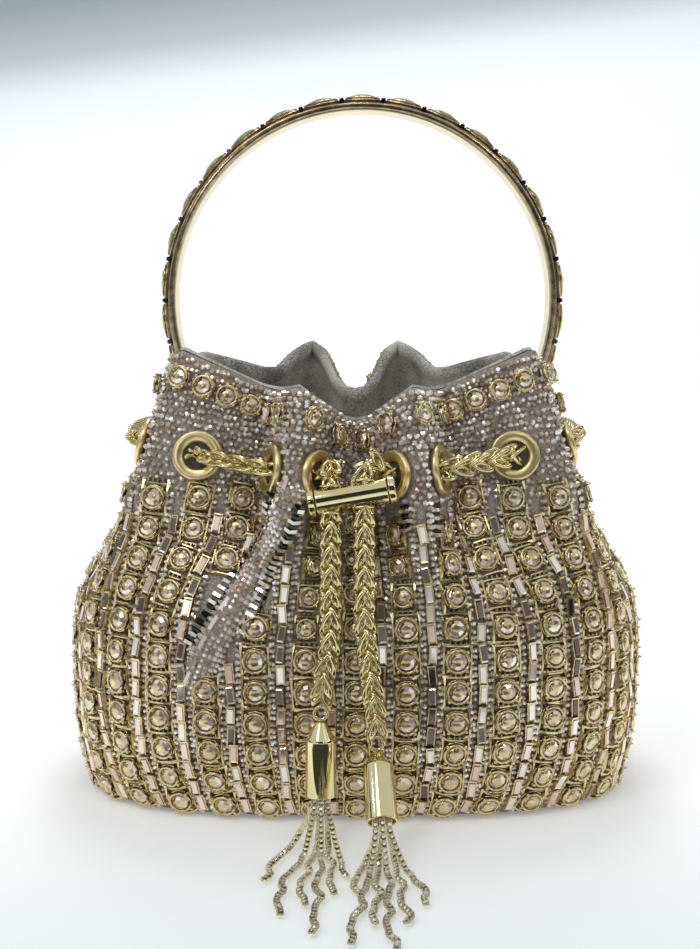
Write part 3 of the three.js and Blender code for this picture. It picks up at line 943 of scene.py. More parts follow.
    def axes(self, step: np.ndarray, level: np.ndarray) -> tuple[np.ndarray, np.ndarray, np.ndarray]:
        """Directions of the cloth.

        Args:
            step: Steps.
            level: Levels.

        Returns:
            Directions sideways, up and out of the cloth at each place.
        """
        step, level = np.broadcast_arrays(np.asarray(step, float), np.asarray(level, float))
        across = self.cloth(step + 0.3, level) - self.cloth(step - 0.3, level)
        up = unit(self.cloth(step, level + MM) - self.cloth(step, level - MM))
        out = unit(np.cross(across, up))
        return np.cross(up, out), up, out

    def seats(self, step: np.ndarray, level: np.ndarray, lift: float = 0.0) -> np.ndarray:
        """Placing matrices on the cloth, with X sideways, Y up and Z out.

        Args:
            step: Steps.
            level: Levels.
            lift: Distance from the cloth.

        Returns:
            A 4 by 4 matrix for each place.
        """
        side, up, out = self.axes(step, level)
        at = self.cloth(step, level) + out * lift
        return frames_of(*(rows.reshape(-1, 3) for rows in (side, up, out, at)))

    def inside(self, step: np.ndarray, level: float, depth: float) -> np.ndarray:
        """Points at one level and a depth inside the cloth's outer face."""
        level = np.full(len(step), level)
        return self.cloth(step, level) - self.axes(step, level)[2] * depth


@dataclass(frozen=True)
class Eyelets:
    """Sixteen metal eyelets, one half way up each flank of each gather."""

    body: BodyShape
    palette: Palette
    steps: tuple[float, ...] = (2, 4.1, 8.5, 12.5, 23.5, 27.5, 31.5, 34.5)
    height_front: float = 0.093
    height_side: float = 0.102
    flange: float = 6.9
    bore: float = 3.8
    lift: float = 0.5
    rise: float = 1.2
    foot: float = -3.4
    sunk: float = 1.05

    def order(self) -> np.ndarray:
        """Steps of all eyelets in the order that they are numbered."""
        return np.array([s for step in self.steps for s in (step, -step)])

    def levels(self) -> np.ndarray:
        """Level of the cloth at which each eyelet sits.

        Returns:
            Levels in the order of the eyelets.
        """
        step = self.order()
        side = np.sin(self.body.angle(step)) ** 2
        height = self.height_front + (self.height_side - self.height_front) * side
        return self.body.level_at(step, height)

    def places(self) -> tuple[np.ndarray, np.ndarray]:
        """Middle of each eyelet on the cloth and its outward direction."""
        step, level = self.order(), self.levels()
        return self.body.cloth(step, level), self.body.axes(step, level)[2]

    def middles(self) -> tuple[np.ndarray, np.ndarray]:
        """Middle of each eyelet's bore and its outward direction."""
        at, out = self.places()
        return at - out * self.sunk * MM, out

    def build(self) -> None:
        """Makes the rings of the eyelets, with a dark disc of painted shade in each bore."""
        top, edge, bore = self.lift + self.rise, self.flange, self.bore
        profile = [
            (bore, self.foot), (bore + 0.5, self.foot), (bore + 0.5, 0), (edge, 0), (edge, 0.9),
            (edge - 0.25, top - 0.15), (edge - 0.6, top), (bore + 0.45, top - 0.25),
            (bore + 0.1, top - 0.5), (bore, top - 0.9),
        ]
        # The dark disc in slot 1 is painted shade where the bore opens into the bag.
        stencil = Stencil().turned(profile, 40).cone((bore + 0.2, bore + 0.2), 0.1, 0.1, 1, 24)
        seats = self.body.seats(self.order(), self.levels(), self.lift * MM)
        piece = tile("eyelets", stencil, seats, [self.palette.satin, self.palette.board])
        settle(piece, "root", [f"eyelet_{i + 1}" for i in range(len(seats))])


@dataclass(frozen=True)
class Slider:
    """Barrel across the two pull chains, with a lip round each hole and a cap on each end."""

    palette: Palette
    centre: Point = (-1.2, -61.2, 88.8)
    radius: float = 3.65
    length: float = 19.0
    edge: float = 0.25
    cap: float = 1.8
    cap_gap: float = 0.3
    tilt: float = 10.0
    slope: float = 11.6
    spacing: float = 8.8
    shift: float = -1.1
    hole: float = 2.75
    lip: float = 0.38
    lip_offset: float = 1.0
    travel: float = 28.0

    def axis(self) -> np.ndarray:
        """Direction of the barrel, towards its right end."""
        turn = math.radians(self.tilt)
        return np.array([math.cos(turn), 0, math.sin(turn)])

    def down(self) -> np.ndarray:
        """Direction in which the chains run through the barrel."""
        turn = math.radians(self.slope)
        return np.array([0, -math.sin(turn), -math.cos(turn)])

    def _along(self, distance: float) -> np.ndarray:
        """Point on the barrel's axis, a distance to the right of its middle."""
        return mm(*self.centre) + self.axis() * distance * MM

    def holes(self) -> list[np.ndarray]:
        """Middles of the left and the right hole, in metres."""
        return [self._along(side * self.spacing / 2 + self.shift) for side in SIDES]

    def reach_of_caps(self) -> np.ndarray:
        """Points that the middles of the two caps pass through as the slider slides.

        Returns:
            Rows of three coordinates.
        """
        ends = [self._along(side * (self.length / 2 + self.cap)) for side in SIDES]
        slides = np.linspace(0, self.travel, 15)
        return np.array([end + self.down() * slide * MM for end in ends for slide in slides])

    def build(self) -> None:
        """Makes the barrel, its lips and its caps."""
        half, r, edge, gold = self.length / 2, self.radius, self.edge, [self.palette.gold]
        profile = [(0, -half), (r - edge, -half), (r, edge - half)]
        profile += [(radius, -height) for radius, height in profile[::-1]]
        piece = tile("slider_tube", Stencil().turned(profile, 48), stand(self.axis(), self._along(0)), gold)
        drill = Stencil().cone((self.hole, self.hole), 14, -7, 0, 28)
        holes = np.concatenate([stand(self.down(), p) for p in self.holes()])
        self._cut(piece, tile("drill", drill, holes, []))
        settle(piece, "slider", ["slider_barrel"])
        reach = math.sqrt(r * r - self.lip_offset**2) * MM
        lips = [stand(self.down(), p + self.down() * side * reach) for p in self.holes() for side in SIDES]
        ring = Stencil().ring(self.hole + 0.05, self.lip, None, 0, 28, 8)
        settle(tile("slider_lips", ring, np.concatenate(lips), gold), "slider")
        rim, cap = r + 0.15, self.cap
        profile = [(0, 0), (rim - 0.1, 0), (rim, 0.15), (rim, cap - 0.35), (rim - 0.3, cap), (0, cap)]
        ends = [stand(self.axis() * side, self._along(side * (half + self.cap_gap))) for side in SIDES]
        caps = tile("slider_caps", Stencil().turned(profile, 40), np.concatenate(ends), gold)
        flatten(piece)
        flatten(caps)
        settle(caps, "slider", ["slider_cap_left", "slider_cap_right"])

    def _cut(self, piece: bpy.types.Object, cutter: bpy.types.Object) -> None:
        """Cuts one mesh out of another and removes the cutter.

        Args:
            piece: What is cut.
            cutter: What it is cut with.
        """
        knife = piece.modifiers.new("holes", "BOOLEAN")
        knife.object, knife.solver = cutter, "EXACT"
        bpy.context.view_layer.update()
        cut = bpy.data.meshes.new_from_object(piece.evaluated_get(bpy.context.evaluated_depsgraph_get()))
        piece.modifiers.clear()
        piece.data = cut
        bpy.data.objects.remove(cutter)


@dataclass(frozen=True)
class Pleat:
    """Raised fold that slants down the left of the front, with ladders along both sides."""

    shape: BodyShape
    palette: Palette
    steps: tuple[float, ...] = (-3.05, -3.5, -4.7, -5.9, -6.9)
    levels: tuple[float, ...] = (0.0925, 0.080, 0.063, 0.048, 0.033)
    half_width: float = 4.0
    height: float = 3.1
    pitch: float = 0.00165
    baguette_pitch: float = 0.0054
    baguette_angle: float = -24.0
    rung_pitch: float = 0.0023
    rung_gap: float = 1.5
    rungs_start: float = 0.1
    rungs_end: tuple[float, float] = (0.8, 0.66)
    stone_angles: tuple[float, ...] = (-72, -50, 2, 24, 46, 68)
    proud: float = 0.72
    foot_share: float = 0.34
    top_share: float = 0.16

    def frames(self, pitch: float) -> np.ndarray:
        """Placing matrices down the fold, with X across, Y along and Z out of the cloth.

        Args:
            pitch: Distance between them.

        Returns:
            A 4 by 4 matrix for each place.
        """
        share = np.linspace(0, 1, 300)
        place = np.linspace(0, 1, len(self.steps))
        step, level = np.interp(share, place, self.steps), np.interp(share, place, self.levels)
        covered = travelled(self.shape.cloth(step, level))
        at = np.arange(0, covered[-1], pitch)
        step, level = np.interp(at, covered, step), np.interp(at, covered, level)
        points, out = self.shape.cloth(step, level), self.shape.axes(step, level)[2]
        along = unit(-np.gradient(points, axis=0))
        out = unit(out - along * (along * out).sum(axis=1, keepdims=True))
        return frames_of(np.cross(along, out), along, out, points)

    def corridor(self) -> np.ndarray:
        """Points down the middle of the fold, as far as it stands proud."""
        points = self.frames(2 * MM)[:, :3, 3]
        return points[: int(self.proud * len(points))]

    def _sunk(self, count: int) -> np.ndarray:
        """How far the fold sinks into the cloth at its top and foot.

        Args:
            count: Number of places down the fold.

        Returns:
            A depth for each place, in metres.
        """
        share = np.arange(count)[:, None] / count
        foot = np.clip((share - (1 - self.foot_share)) / self.foot_share, 0, 1) ** 1.5
        top = np.clip(1 - share / self.top_share, 0, 1) ** 2
        return (foot + 0.9 * top) * self.height * MM

    def _round(self, pitch: float, angle: float) -> np.ndarray:
        """Placing matrices on the round of the fold.

        Args:
            pitch: Distance between them down the fold.
            angle: Angle from the fold's top, in degrees.

        Returns:
            A 4 by 4 matrix for each place.
        """
        made = self.frames(pitch)
        sine, cosine = math.sin(math.radians(angle)), math.cos(math.radians(angle))
        side, along, out = (made[:, :3, k].copy() for k in range(3))
        shift = side * self.half_width * sine + out * self.height * cosine
        normal = unit(side * sine / self.half_width + out * cosine / self.height)
        at = made[:, :3, 3] + shift * MM - out * self._sunk(len(made))
        return frames_of(np.cross(along, normal), along, normal, at)

    def build(self) -> None:
        """Makes the fold's cloth, its stones, its thin baguettes and both ladders."""
        ridge = Stencil().cone((self.half_width, self.half_width), 3.0, -1.5, 0, 20)
        bmesh.ops.rotate(ridge.bm, verts=ridge.bm.verts, matrix=Matrix.Rotation(math.pi / 2, 3, "X"))
        for corner in ridge.bm.verts:
            corner.co.z *= self.height / self.half_width if corner.co.z > 0 else 0.05
        made = self.frames(self.pitch)
        made[:, :3, 3] -= made[:, :3, 2] * self._sunk(len(made))
        sew("pleat_cloth", ridge, made, [self.palette.net])
        rows = np.concatenate([self._round(self.pitch, angle) for angle in self.stone_angles])
        sew("pleat_stones", small_stone(0.0), rows, [self.palette.pave], chance(31, len(rows)))
        places = self._round(self.baguette_pitch, self.baguette_angle)
        thin = Stencil().box((1.3, 4.8, 0.8), (0, 0, 0), 0, 0.8)
        sew("pleat_baguettes", thin, places, [self.palette.baguette], chance(32, len(places)) * 0.7)
        self._ladders()

    def _ladders(self) -> None:
        """Side walls of the settings along both sides of the fold, with painted light and painted shade by
        turns.
        """
        rows = []
        for side, end in zip(SIDES, self.rungs_end):
            made = self.frames(self.rung_pitch)
            made = made[int(len(made) * self.rungs_start): int(len(made) * end)]
            made[:, :3, 3] += made[:, :3, 0] * side * (self.half_width + self.rung_gap) * MM
            rows.append(made)
        # The pale walls are painted light and the near-black walls are painted shade.
        names = [self.palette.lit_setting, self.palette.painted_shade]
        sew("pleat_ladders", rung((2.8, 1.1, 2.3), (2.5, 1.0, 1.5), 0.85), np.concatenate(rows), names)


@dataclass(frozen=True)
class Body:
    """Outer cloth with its upright columns of stones, the pave neck and the row below the rim.

    A room is the least distance of a kind of stone from an eyelet's middle, and beside is its
    least distance from the middle of the pleat.
    """

    shape: BodyShape
    palette: Palette
    eyelets: Eyelets
    slider: Slider
    pleat: Pleat
    cup_pitch: float = 0.0083
    cup_foot: float = 0.0052
    cup_top: float = 0.0868
    cup_size: float = 1.07
    cup_room: float = 0.0098
    cup_beside: float = 0.0072
    baguette_pitch: float = 0.0054
    baguette_top: float = 0.084
    baguette_room: float = 0.0095
    baguette_beside: float = 0.0064
    setting_lift: float = 0.0006
    stone_pitch: float = 0.00165
    strip_foot: float = 0.002
    strip_room: float = 0.0078
    strip_offsets: tuple[float, ...] = (-0.40, -0.27, 0.27, 0.40)
    neck_pitch: float = 0.0021
    neck_step: float = 0.285
    neck_room: float = 0.0076
    neck_size: float = 1.05
    rung_room: float = 0.0085
    rung_pitch: float = 0.0024
    rung_columns: tuple[tuple[float, float], ...] = ((3.6, 0.078), (2.4, 0.080))
    rim_row: float = 0.0068
    rim_step: float = 1.3
    rim_size: float = 0.98
    slider_room: float = 0.0095
    slider_size: float = 0.86
    seed: int = 7

    def build(self) -> None:
        """Makes every piece of the outside."""
        self._net()
        self._cups()
        self._baguettes()
        self._strips()
        self._fold_ladders()
        self._neck()
        self._rim_cups()

    def _clear(self, seats: np.ndarray, room: float, beside: float = 0.0) -> np.ndarray:
        """Seats that keep clear of every eyelet and of the pleat.

        Args:
            seats: Placing matrices.
            room: Least distance from an eyelet's middle.
            beside: Least distance from the pleat's middle line.

        Returns:
            The seats that are left.
        """
        for middles, least in ((self.eyelets.places()[0], room), (self.pleat.corridor(), beside)):
            seats = seats[distance(seats, middles) > least]
        return seats

    def _tones(self, count: int, shift: int) -> np.ndarray:
        """A steady number from 0 to 1 for each copy."""
        return chance(self.seed + shift, count)

    def _loosen(self, seats: np.ndarray, shift: int, tilt: float, size: float = 0.0) -> np.ndarray:
        """Leans, turns and resizes every seat a little, as stones sit that were set by hand.

        Args:
            seats: Placing matrices that aren't scaled yet.
            shift: Number that keeps the chance apart from that of other pieces.
            tilt: Largest lean in degrees.
            size: Largest change in size, as a share.

        Returns:
            The new matrices.
        """
        draws = np.random.default_rng(self.seed + shift).uniform(-1, 1, (len(seats), 4))
        lean = math.radians(tilt) * draws[:, :3, None]
        x, y, z = (seats[:, :3, k] for k in range(3))
        up = unit(z + lean[:, 0] * x + lean[:, 1] * y)
        ahead = y + lean[:, 2] * x
        ahead = unit(ahead - up * (up * ahead).sum(axis=1, keepdims=True))
        loose = frames_of(np.cross(ahead, up), ahead, up, seats[:, :3, 3])
        loose[:, :3, :3] *= 1 + size * draws[:, 3, None, None]
        return loose

    def _net(self) -> None:
        """Netting that carries the stones, as one gathered sheet."""
        levels = np.linspace(0.5 * MM, self.shape.mouth_height, 44)
        step, level = np.meshgrid(np.arange(0, self.shape.steps, 0.5), levels)
        piece = grid("stone_net", self.shape.cloth(step, level), [self.palette.net])
        thick = piece.modifiers.new("thickness", "SOLIDIFY")
        thick.thickness, thick.offset = 1.0 * MM, -1
        settle(piece, "root", ["bag_wall"])

    def _levels(self, foot: float, top: float, pitch: float) -> np.ndarray:
        """Levels that lie a pitch apart along the front cloth.

        Args:
            foot: First level.
            top: Level they stay below.
            pitch: Distance between them.

        Returns:
            The levels.
        """
        fine = np.linspace(foot, top, 400)
        covered = travelled(self.shape.cloth(2.0, fine))
        return np.interp(np.arange(0, covered[-1], pitch), covered, fine)

    def _columns(self, first: int, levels: np.ndarray, room: float, beside: float) -> np.ndarray:
        """Seats in upright columns, on every second step round the body.

        Args:
            first: Step of the first column.
            levels: Levels of the seats in each column.
            room: Least distance from an eyelet's middle.
            beside: Least distance from the pleat's middle line.

        Returns:
            Placing matrices.
        """
        step, level = np.meshgrid(np.arange(first, self.shape.steps, 2.0), levels)
        return self._clear(self.shape.seats(step.ravel(), level.ravel(), self.setting_lift), room, beside)

    def _sew_cups(self, name: str, seats: np.ndarray, shift: int) -> None:
        """Round stones in wire bezels with four prongs.

        Args:
            name: Name of the object.
            seats: Placing matrices.
            shift: Number that keeps the chance apart from that of other pieces.
        """
        cup = Stencil()
        cup.cone((2.45, 2.3), 1.2, 0.2, 0, 12)
        cup.ring(2.75, 0.36, Matrix.Translation((0, 0, 1.7)), 1, 14, 5)
        cup.ring(3.05, 0.28, Matrix.Translation((0, 0, 0.7)), 1, 12, 4)
        cup.cone((2.4, 1.95), 0.45, 1.4, 0, 8).cone((1.95, 1.15), 0.4, 1.85, 0, 8, 22.5)
        for x, y in ((1, 1), (1, -1), (-1, 1), (-1, -1)):
            cup.ball(0.50, (x * 2.3, y * 2.3, 1.75), 1)
            cup.box((0.55, 0.55, 1.5), (x * 2.35, y * 2.35, 0.2), 1)
        names = [self.palette.crystal, self.palette.cup, self.palette.bar]
        sew(name, cup, seats, names, self._tones(len(seats), shift), 0.7)

    def _cups(self) -> None:
        """Columns of cups, with the ladder of bars between them."""
        levels = self._levels(self.cup_foot, self.cup_top, self.cup_pitch)
        seats = self._columns(0, levels, self.cup_room, self.cup_beside)
        seats = self._loosen(seats, 21, 6, 0.03)
        near = distance(seats, self.slider.reach_of_caps()) < self.slider_room
        seats[near, :3, :3] *= self.slider_size
        seats[:, :3, :3] *= self.cup_size
        self._sew_cups("cups", seats, 1)
        ladder = Stencil()
        for x in (-3.3, 3.3):
            ladder.box((0.8, 8.3, 0.95), (x, 0, 0.0), 0, 0.45)
        for y in (-3.9, 3.6):
            ladder.box((6.2, 0.7, 1.0), (0, y, 0.0), 0, 0.5)
        for x in (-1.9, -0.65, 0.65, 1.9):
            ladder.box((0.7, 1.5, 1.0), (x, 4.3, 0.0), 1, 0.4)
        sew("cup_ladders", ladder, seats, [self.palette.cup, self.palette.bar])

    def _baguettes(self) -> None:
        """Columns of long stones in a channel, with a bar between neighbours."""
        levels = self._levels(self.cup_foot, self.baguette_top, self.baguette_pitch)
        seats = self._columns(1, levels, self.baguette_room, self.baguette_beside)
        seats = self._loosen(seats, 22, 9, 0.04)
        stone = Stencil().box((1.75, 4.7, 0.9), (0, 0, 0.5), 0).box((1.75, 4.7, 0.35), (0, 0, 1.4), 0, 0.8)
        for x in (-1.0, 1.0):
            stone.box((0.28, 5.2, 1.25), (x, 0, 0.2), 1)
        stone.box((2.4, 0.4, 1.6), (0, 2.6, 0.2), 1)
        sew("baguettes", stone, seats, [self.palette.baguette, self.palette.cup], self._tones(len(seats), 2))

    def _strips(self) -> None:
        """Rows of small stones on both sides of every column of baguettes."""
        levels = self._levels(self.strip_foot, self.cup_top, self.stone_pitch)
        step = (np.arange(1, self.shape.steps, 2.0)[:, None] + np.array(self.strip_offsets)).ravel()
        step, level = np.meshgrid(step, levels)
        jitter = self._tones(step.size, 3).reshape(step.shape) - 0.5
        seats = self.shape.seats((step + 0.03 * jitter).ravel(), (level + 0.0005 * jitter).ravel(), 0.3 * MM)
        seats = self._loosen(self._clear(seats, self.strip_room), 23, 16, 0.08)
        sew("strip_stones", small_stone(0.1), seats, [self.palette.pave], self._tones(len(seats), 4))

    def _fold_ladders(self) -> None:
        """Side walls of the settings at the top of the right fold, with painted light and painted shade by
        turns.
        """
        parts = []
        for offset, foot in self.rung_columns:
            levels = np.arange(foot, self.cup_top - 0.001, self.rung_pitch)
            parts.append(self.shape.seats(np.full(len(levels), offset), levels, 0.5 * MM))
        seats = self._loosen(self._clear(np.concatenate(parts), self.rung_room), 26, 8, 0.05)
        # The pale walls are painted light and the near-black walls are painted shade.
        names = [self.palette.lit_setting, self.palette.painted_shade]
        sew("fold_ladders", rung((2.6, 1.1, 1.9), (2.3, 0.9, 1.2), 0.8), seats, names)

    def _neck(self) -> None:
        """Small stones all over the neck, up to the rim and along its edge."""
        levels = np.arange(self.cup_top + 0.0005, self.shape.mouth_height - 0.0002, self.neck_pitch)
        step, level = np.meshgrid(np.arange(0, self.shape.steps, self.neck_step), levels)
        odd = np.arange(len(levels))[:, None] % 2
        step = step + self.neck_step / 2 * odd + 0.1 * self._tones(len(levels), 15)[:, None]
        jitter, other = (self._tones(step.size, n).reshape(step.shape) - 0.5 for n in (5, 16))
        seats = self.shape.seats((step + 0.12 * jitter).ravel(), (level + 0.0010 * other).ravel(), 0.25 * MM)
        seats = self._loosen(self._clear(seats, self.neck_room), 24, 16, 0.08)
        seats[:, :3, :3] *= self.neck_size
        sew("neck_stones", small_stone(0.1), seats, [self.palette.pave], self._tones(len(seats), 6))

    def _rim_cups(self) -> None:
        """Row of round stones just below the rim."""
        step = np.arange(self.rim_step / 2, self.shape.steps, self.rim_step)
        level = self.shape.level_at(step, self.shape.rim(step) - self.rim_row)
        seats = self._clear(self.shape.seats(step, level, 0.9 * MM), self.cup_room)
        seats = self._loosen(seats, 25, 6, 0.03)
        seats[:, :3, :3] *= self.rim_size
        self._sew_cups("rim_cups", seats, 8)


@dataclass(frozen=True)
class Lining:
    """Velvet lining with a soft rolled hem, and the cloth below the base.

    The hem is pairs of height above the rim and depth inside the cloth, in millimetres. The
    edge of the base cloth is pairs of a share of its outline and a height in millimetres.
    """

    shape: BodyShape
    palette: Palette
    depth: float = 0.00155
    floor: float = 0.0046
    top: float = 0.118
    base_depth: float = 0.0012
    hem: tuple[tuple[float, float], ...] = (
        (-7.0, 1.55), (-5.0, 1.9), (-3.4, 2.9), (-2.0, 3.5), (-0.8, 3.6), (0.3, 3.1), (0.8, 2.3),
        (0.7, 1.5), (0.1, 1.05),
    )
    edge: tuple[tuple[float, float], ...] = (
        (0.02, 0.15), (0.5, 0.15), (0.9, 0.15), (0.985, 0.2), (1.0, 0.6), (1.0, 1.3), (0.985, 1.35),
    )

    def build(self) -> None:
        """Makes the lining, the base cloth and dresses the board."""
        body = self.shape
        step = np.arange(0, body.steps, 0.5)
        floor = body.inside(step, self.floor, self.depth)
        floor[:, 2] = self.floor
        flats = [floor * [s, s, 1] for s in (0.02, 0.3, 0.6, 0.9, 0.98)]
        rises = [body.inside(step, z, self.depth) for z in np.linspace(self.floor + MM, self.top, 36)]
        rolls = []
        for drop, depth in self.hem:
            rim = body.inside(step, body.mouth_height, depth * MM)
            rim[:, 2] = body.rim(step) + drop * MM
            rolls.append(rim)
        rises = [row for row in rises if (row[:, 2] < rolls[0][:, 2]).all()]
        rows = np.array([*flats, *rises, *rolls])
        piece = grid("velvet_lining", rows, [self.palette.velvet], outwards=False)
        settle(piece, "root", ["lining"])
        self._base(step)

    def _base(self, step: np.ndarray) -> None:
        """Cloth below the board, with its edge turned up, and the board itself.

        Args:
            step: Steps round the body.
        """
        rows = []
        for share, z in self.edge:
            row = self.shape.inside(step, 0.5 * MM, self.base_depth) * [share, share, 0]
            row[:, 2] = z * MM
            rows.append(row)
        piece = grid("base_cloth", np.array(rows), [self.palette.base], outwards=False)
        settle(piece, "root", ["base_panel"])
        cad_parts["base_board"].data.materials.clear()
        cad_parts["base_board"].data.materials.append(self.palette.board)


@dataclass(frozen=True)
class Hoop:
    """Round handle: a channel band with oval stones round its outside."""

    palette: Palette
    centre: Point = (0.002, 0.0, 0.140)
    band: float = 57.0
    inner: float = 54.5
    width: float = 12.0
    stones: int = 30

    def build(self) -> None:
        """Makes the band and the row of settings."""
        half, inner, outer = self.width / 2, self.inner, self.band
        profile = [
            (inner, 0.5 - half), (inner, half - 0.5), (inner + 0.35, half - 0.1), (inner + 0.9, half),
            (inner + 1.1, half), (outer - 0.5, half), (outer, half - 0.4), (outer, 0), (outer, 0.4 - half),
            (outer - 0.5, -half), (inner + 0.9, -half), (inner + 0.35, 0.1 - half),
        ]
        place = np.array(Matrix.Translation(self.centre) @ Matrix.Rotation(math.pi / 2, 4, "X"))[None]
        band = Stencil().turned(profile, 128)
        for face in band.bm.faces:
            middle = face.calc_center_median()
            face.material_index = int(math.hypot(middle.x, middle.y) < inner + 0.3)
        piece = tile("hoop_band", band, place, [self.palette.hoop, self.palette.hoop_inside])
        flatten(piece)
        settle(piece, "hoop", ["hoop_handle"])
        self._settings()

    def _settings(self) -> None:
        """Oval stones in wire frames, with a joint between neighbours and a near-black block of painted
        shade in the notch at each edge of the band.
        """
        setting = Stencil()
        setting.cone((5.7, 5.6), 0.7, 0.0, 1, 20, stretch=0.92)
        setting.cone((5.6, 4.7), 0.9, 0.7, 1, 20, stretch=0.92)
        setting.ring(5.6, 0.34, Matrix.Translation((0, 0, 0.6)), 1, 24, 5, 0.93)
        setting.ring(4.9, 0.30, Matrix.Translation((0, 0, 1.4)), 1, 24, 5, 0.93)
        setting.cone((4.7, 4.1), 0.45, 1.4, 0, 12, stretch=0.92)
        setting.cone((4.1, 2.4), 0.65, 1.85, 0, 12, 15, stretch=0.92)
        for y in SIDES:
            setting.ball(0.7, (6.0, y * 3.4, 0.9), 1)
            setting.ball(0.6, (6.0, y * 1.2, 0.7), 1)
            setting.box((12.2, 0.9, 0.55), (0, y * 5.2, -0.1), 1)
            # Near-black block in the notch between neighbours: painted shade.
            setting.box((1.5, 1.1, 1.1), (6.0, y * 5.35, -0.2), 2, 0.8)
        angle = np.arange(self.stones) / self.stones * 2 * math.pi
        out = np.stack([np.sin(angle), 0 * angle, np.cos(angle)], axis=1)
        along = np.stack([np.cos(angle), 0 * angle, -np.sin(angle)], axis=1)
        at = np.array(self.centre) + out * (self.band - 0.1) * MM
        places = frames_of(along, np.cross(out, along), out, at)
        names = [self.palette.citrine, self.palette.hoop, self.palette.painted_shade]
        piece = tile("hoop_stones", setting, places, names, chance(5, self.stones), 0.6)
        settle(piece, "hoop")


@dataclass(frozen=True)
class Tabs:
    """Velvet tabs round the hoop, and the patches they are sewn to."""

    palette: Palette
    tab_edge: float = 0.42
    patch_edge: float = 0.315

    def build(self) -> None:
        """Makes both tabs and both patches from the outlines of the CAD part."""
        for name in ("handle_tab_left", "handle_tab_right", "tab_patch_left", "tab_patch_right"):
            is_patch = "patch" in name
            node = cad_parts[name]
            mesh = node.data.copy()
            mesh.materials.clear()
            bm = bmesh.new()
            bm.from_mesh(mesh)
            bm.transform(node.matrix_world)
            bmesh.ops.remove_doubles(bm, verts=bm.verts, dist=1e-6)
            bmesh.ops.dissolve_limit(bm, angle_limit=0.02, verts=bm.verts, edges=bm.edges)
            size = (self.patch_edge if is_patch else self.tab_edge) * MM
            bmesh.ops.bevel(bm, geom=bm.edges[:], offset=size, segments=2, profile=0.5,
                            affect="EDGES", material=-1, clamp_overlap=True)
            bm.to_mesh(mesh)
            bm.free()
            piece = put(f"velvet_{name}", mesh, [self.palette.velvet])
            settle(piece, "root" if is_patch else "handle_tabs", [name])


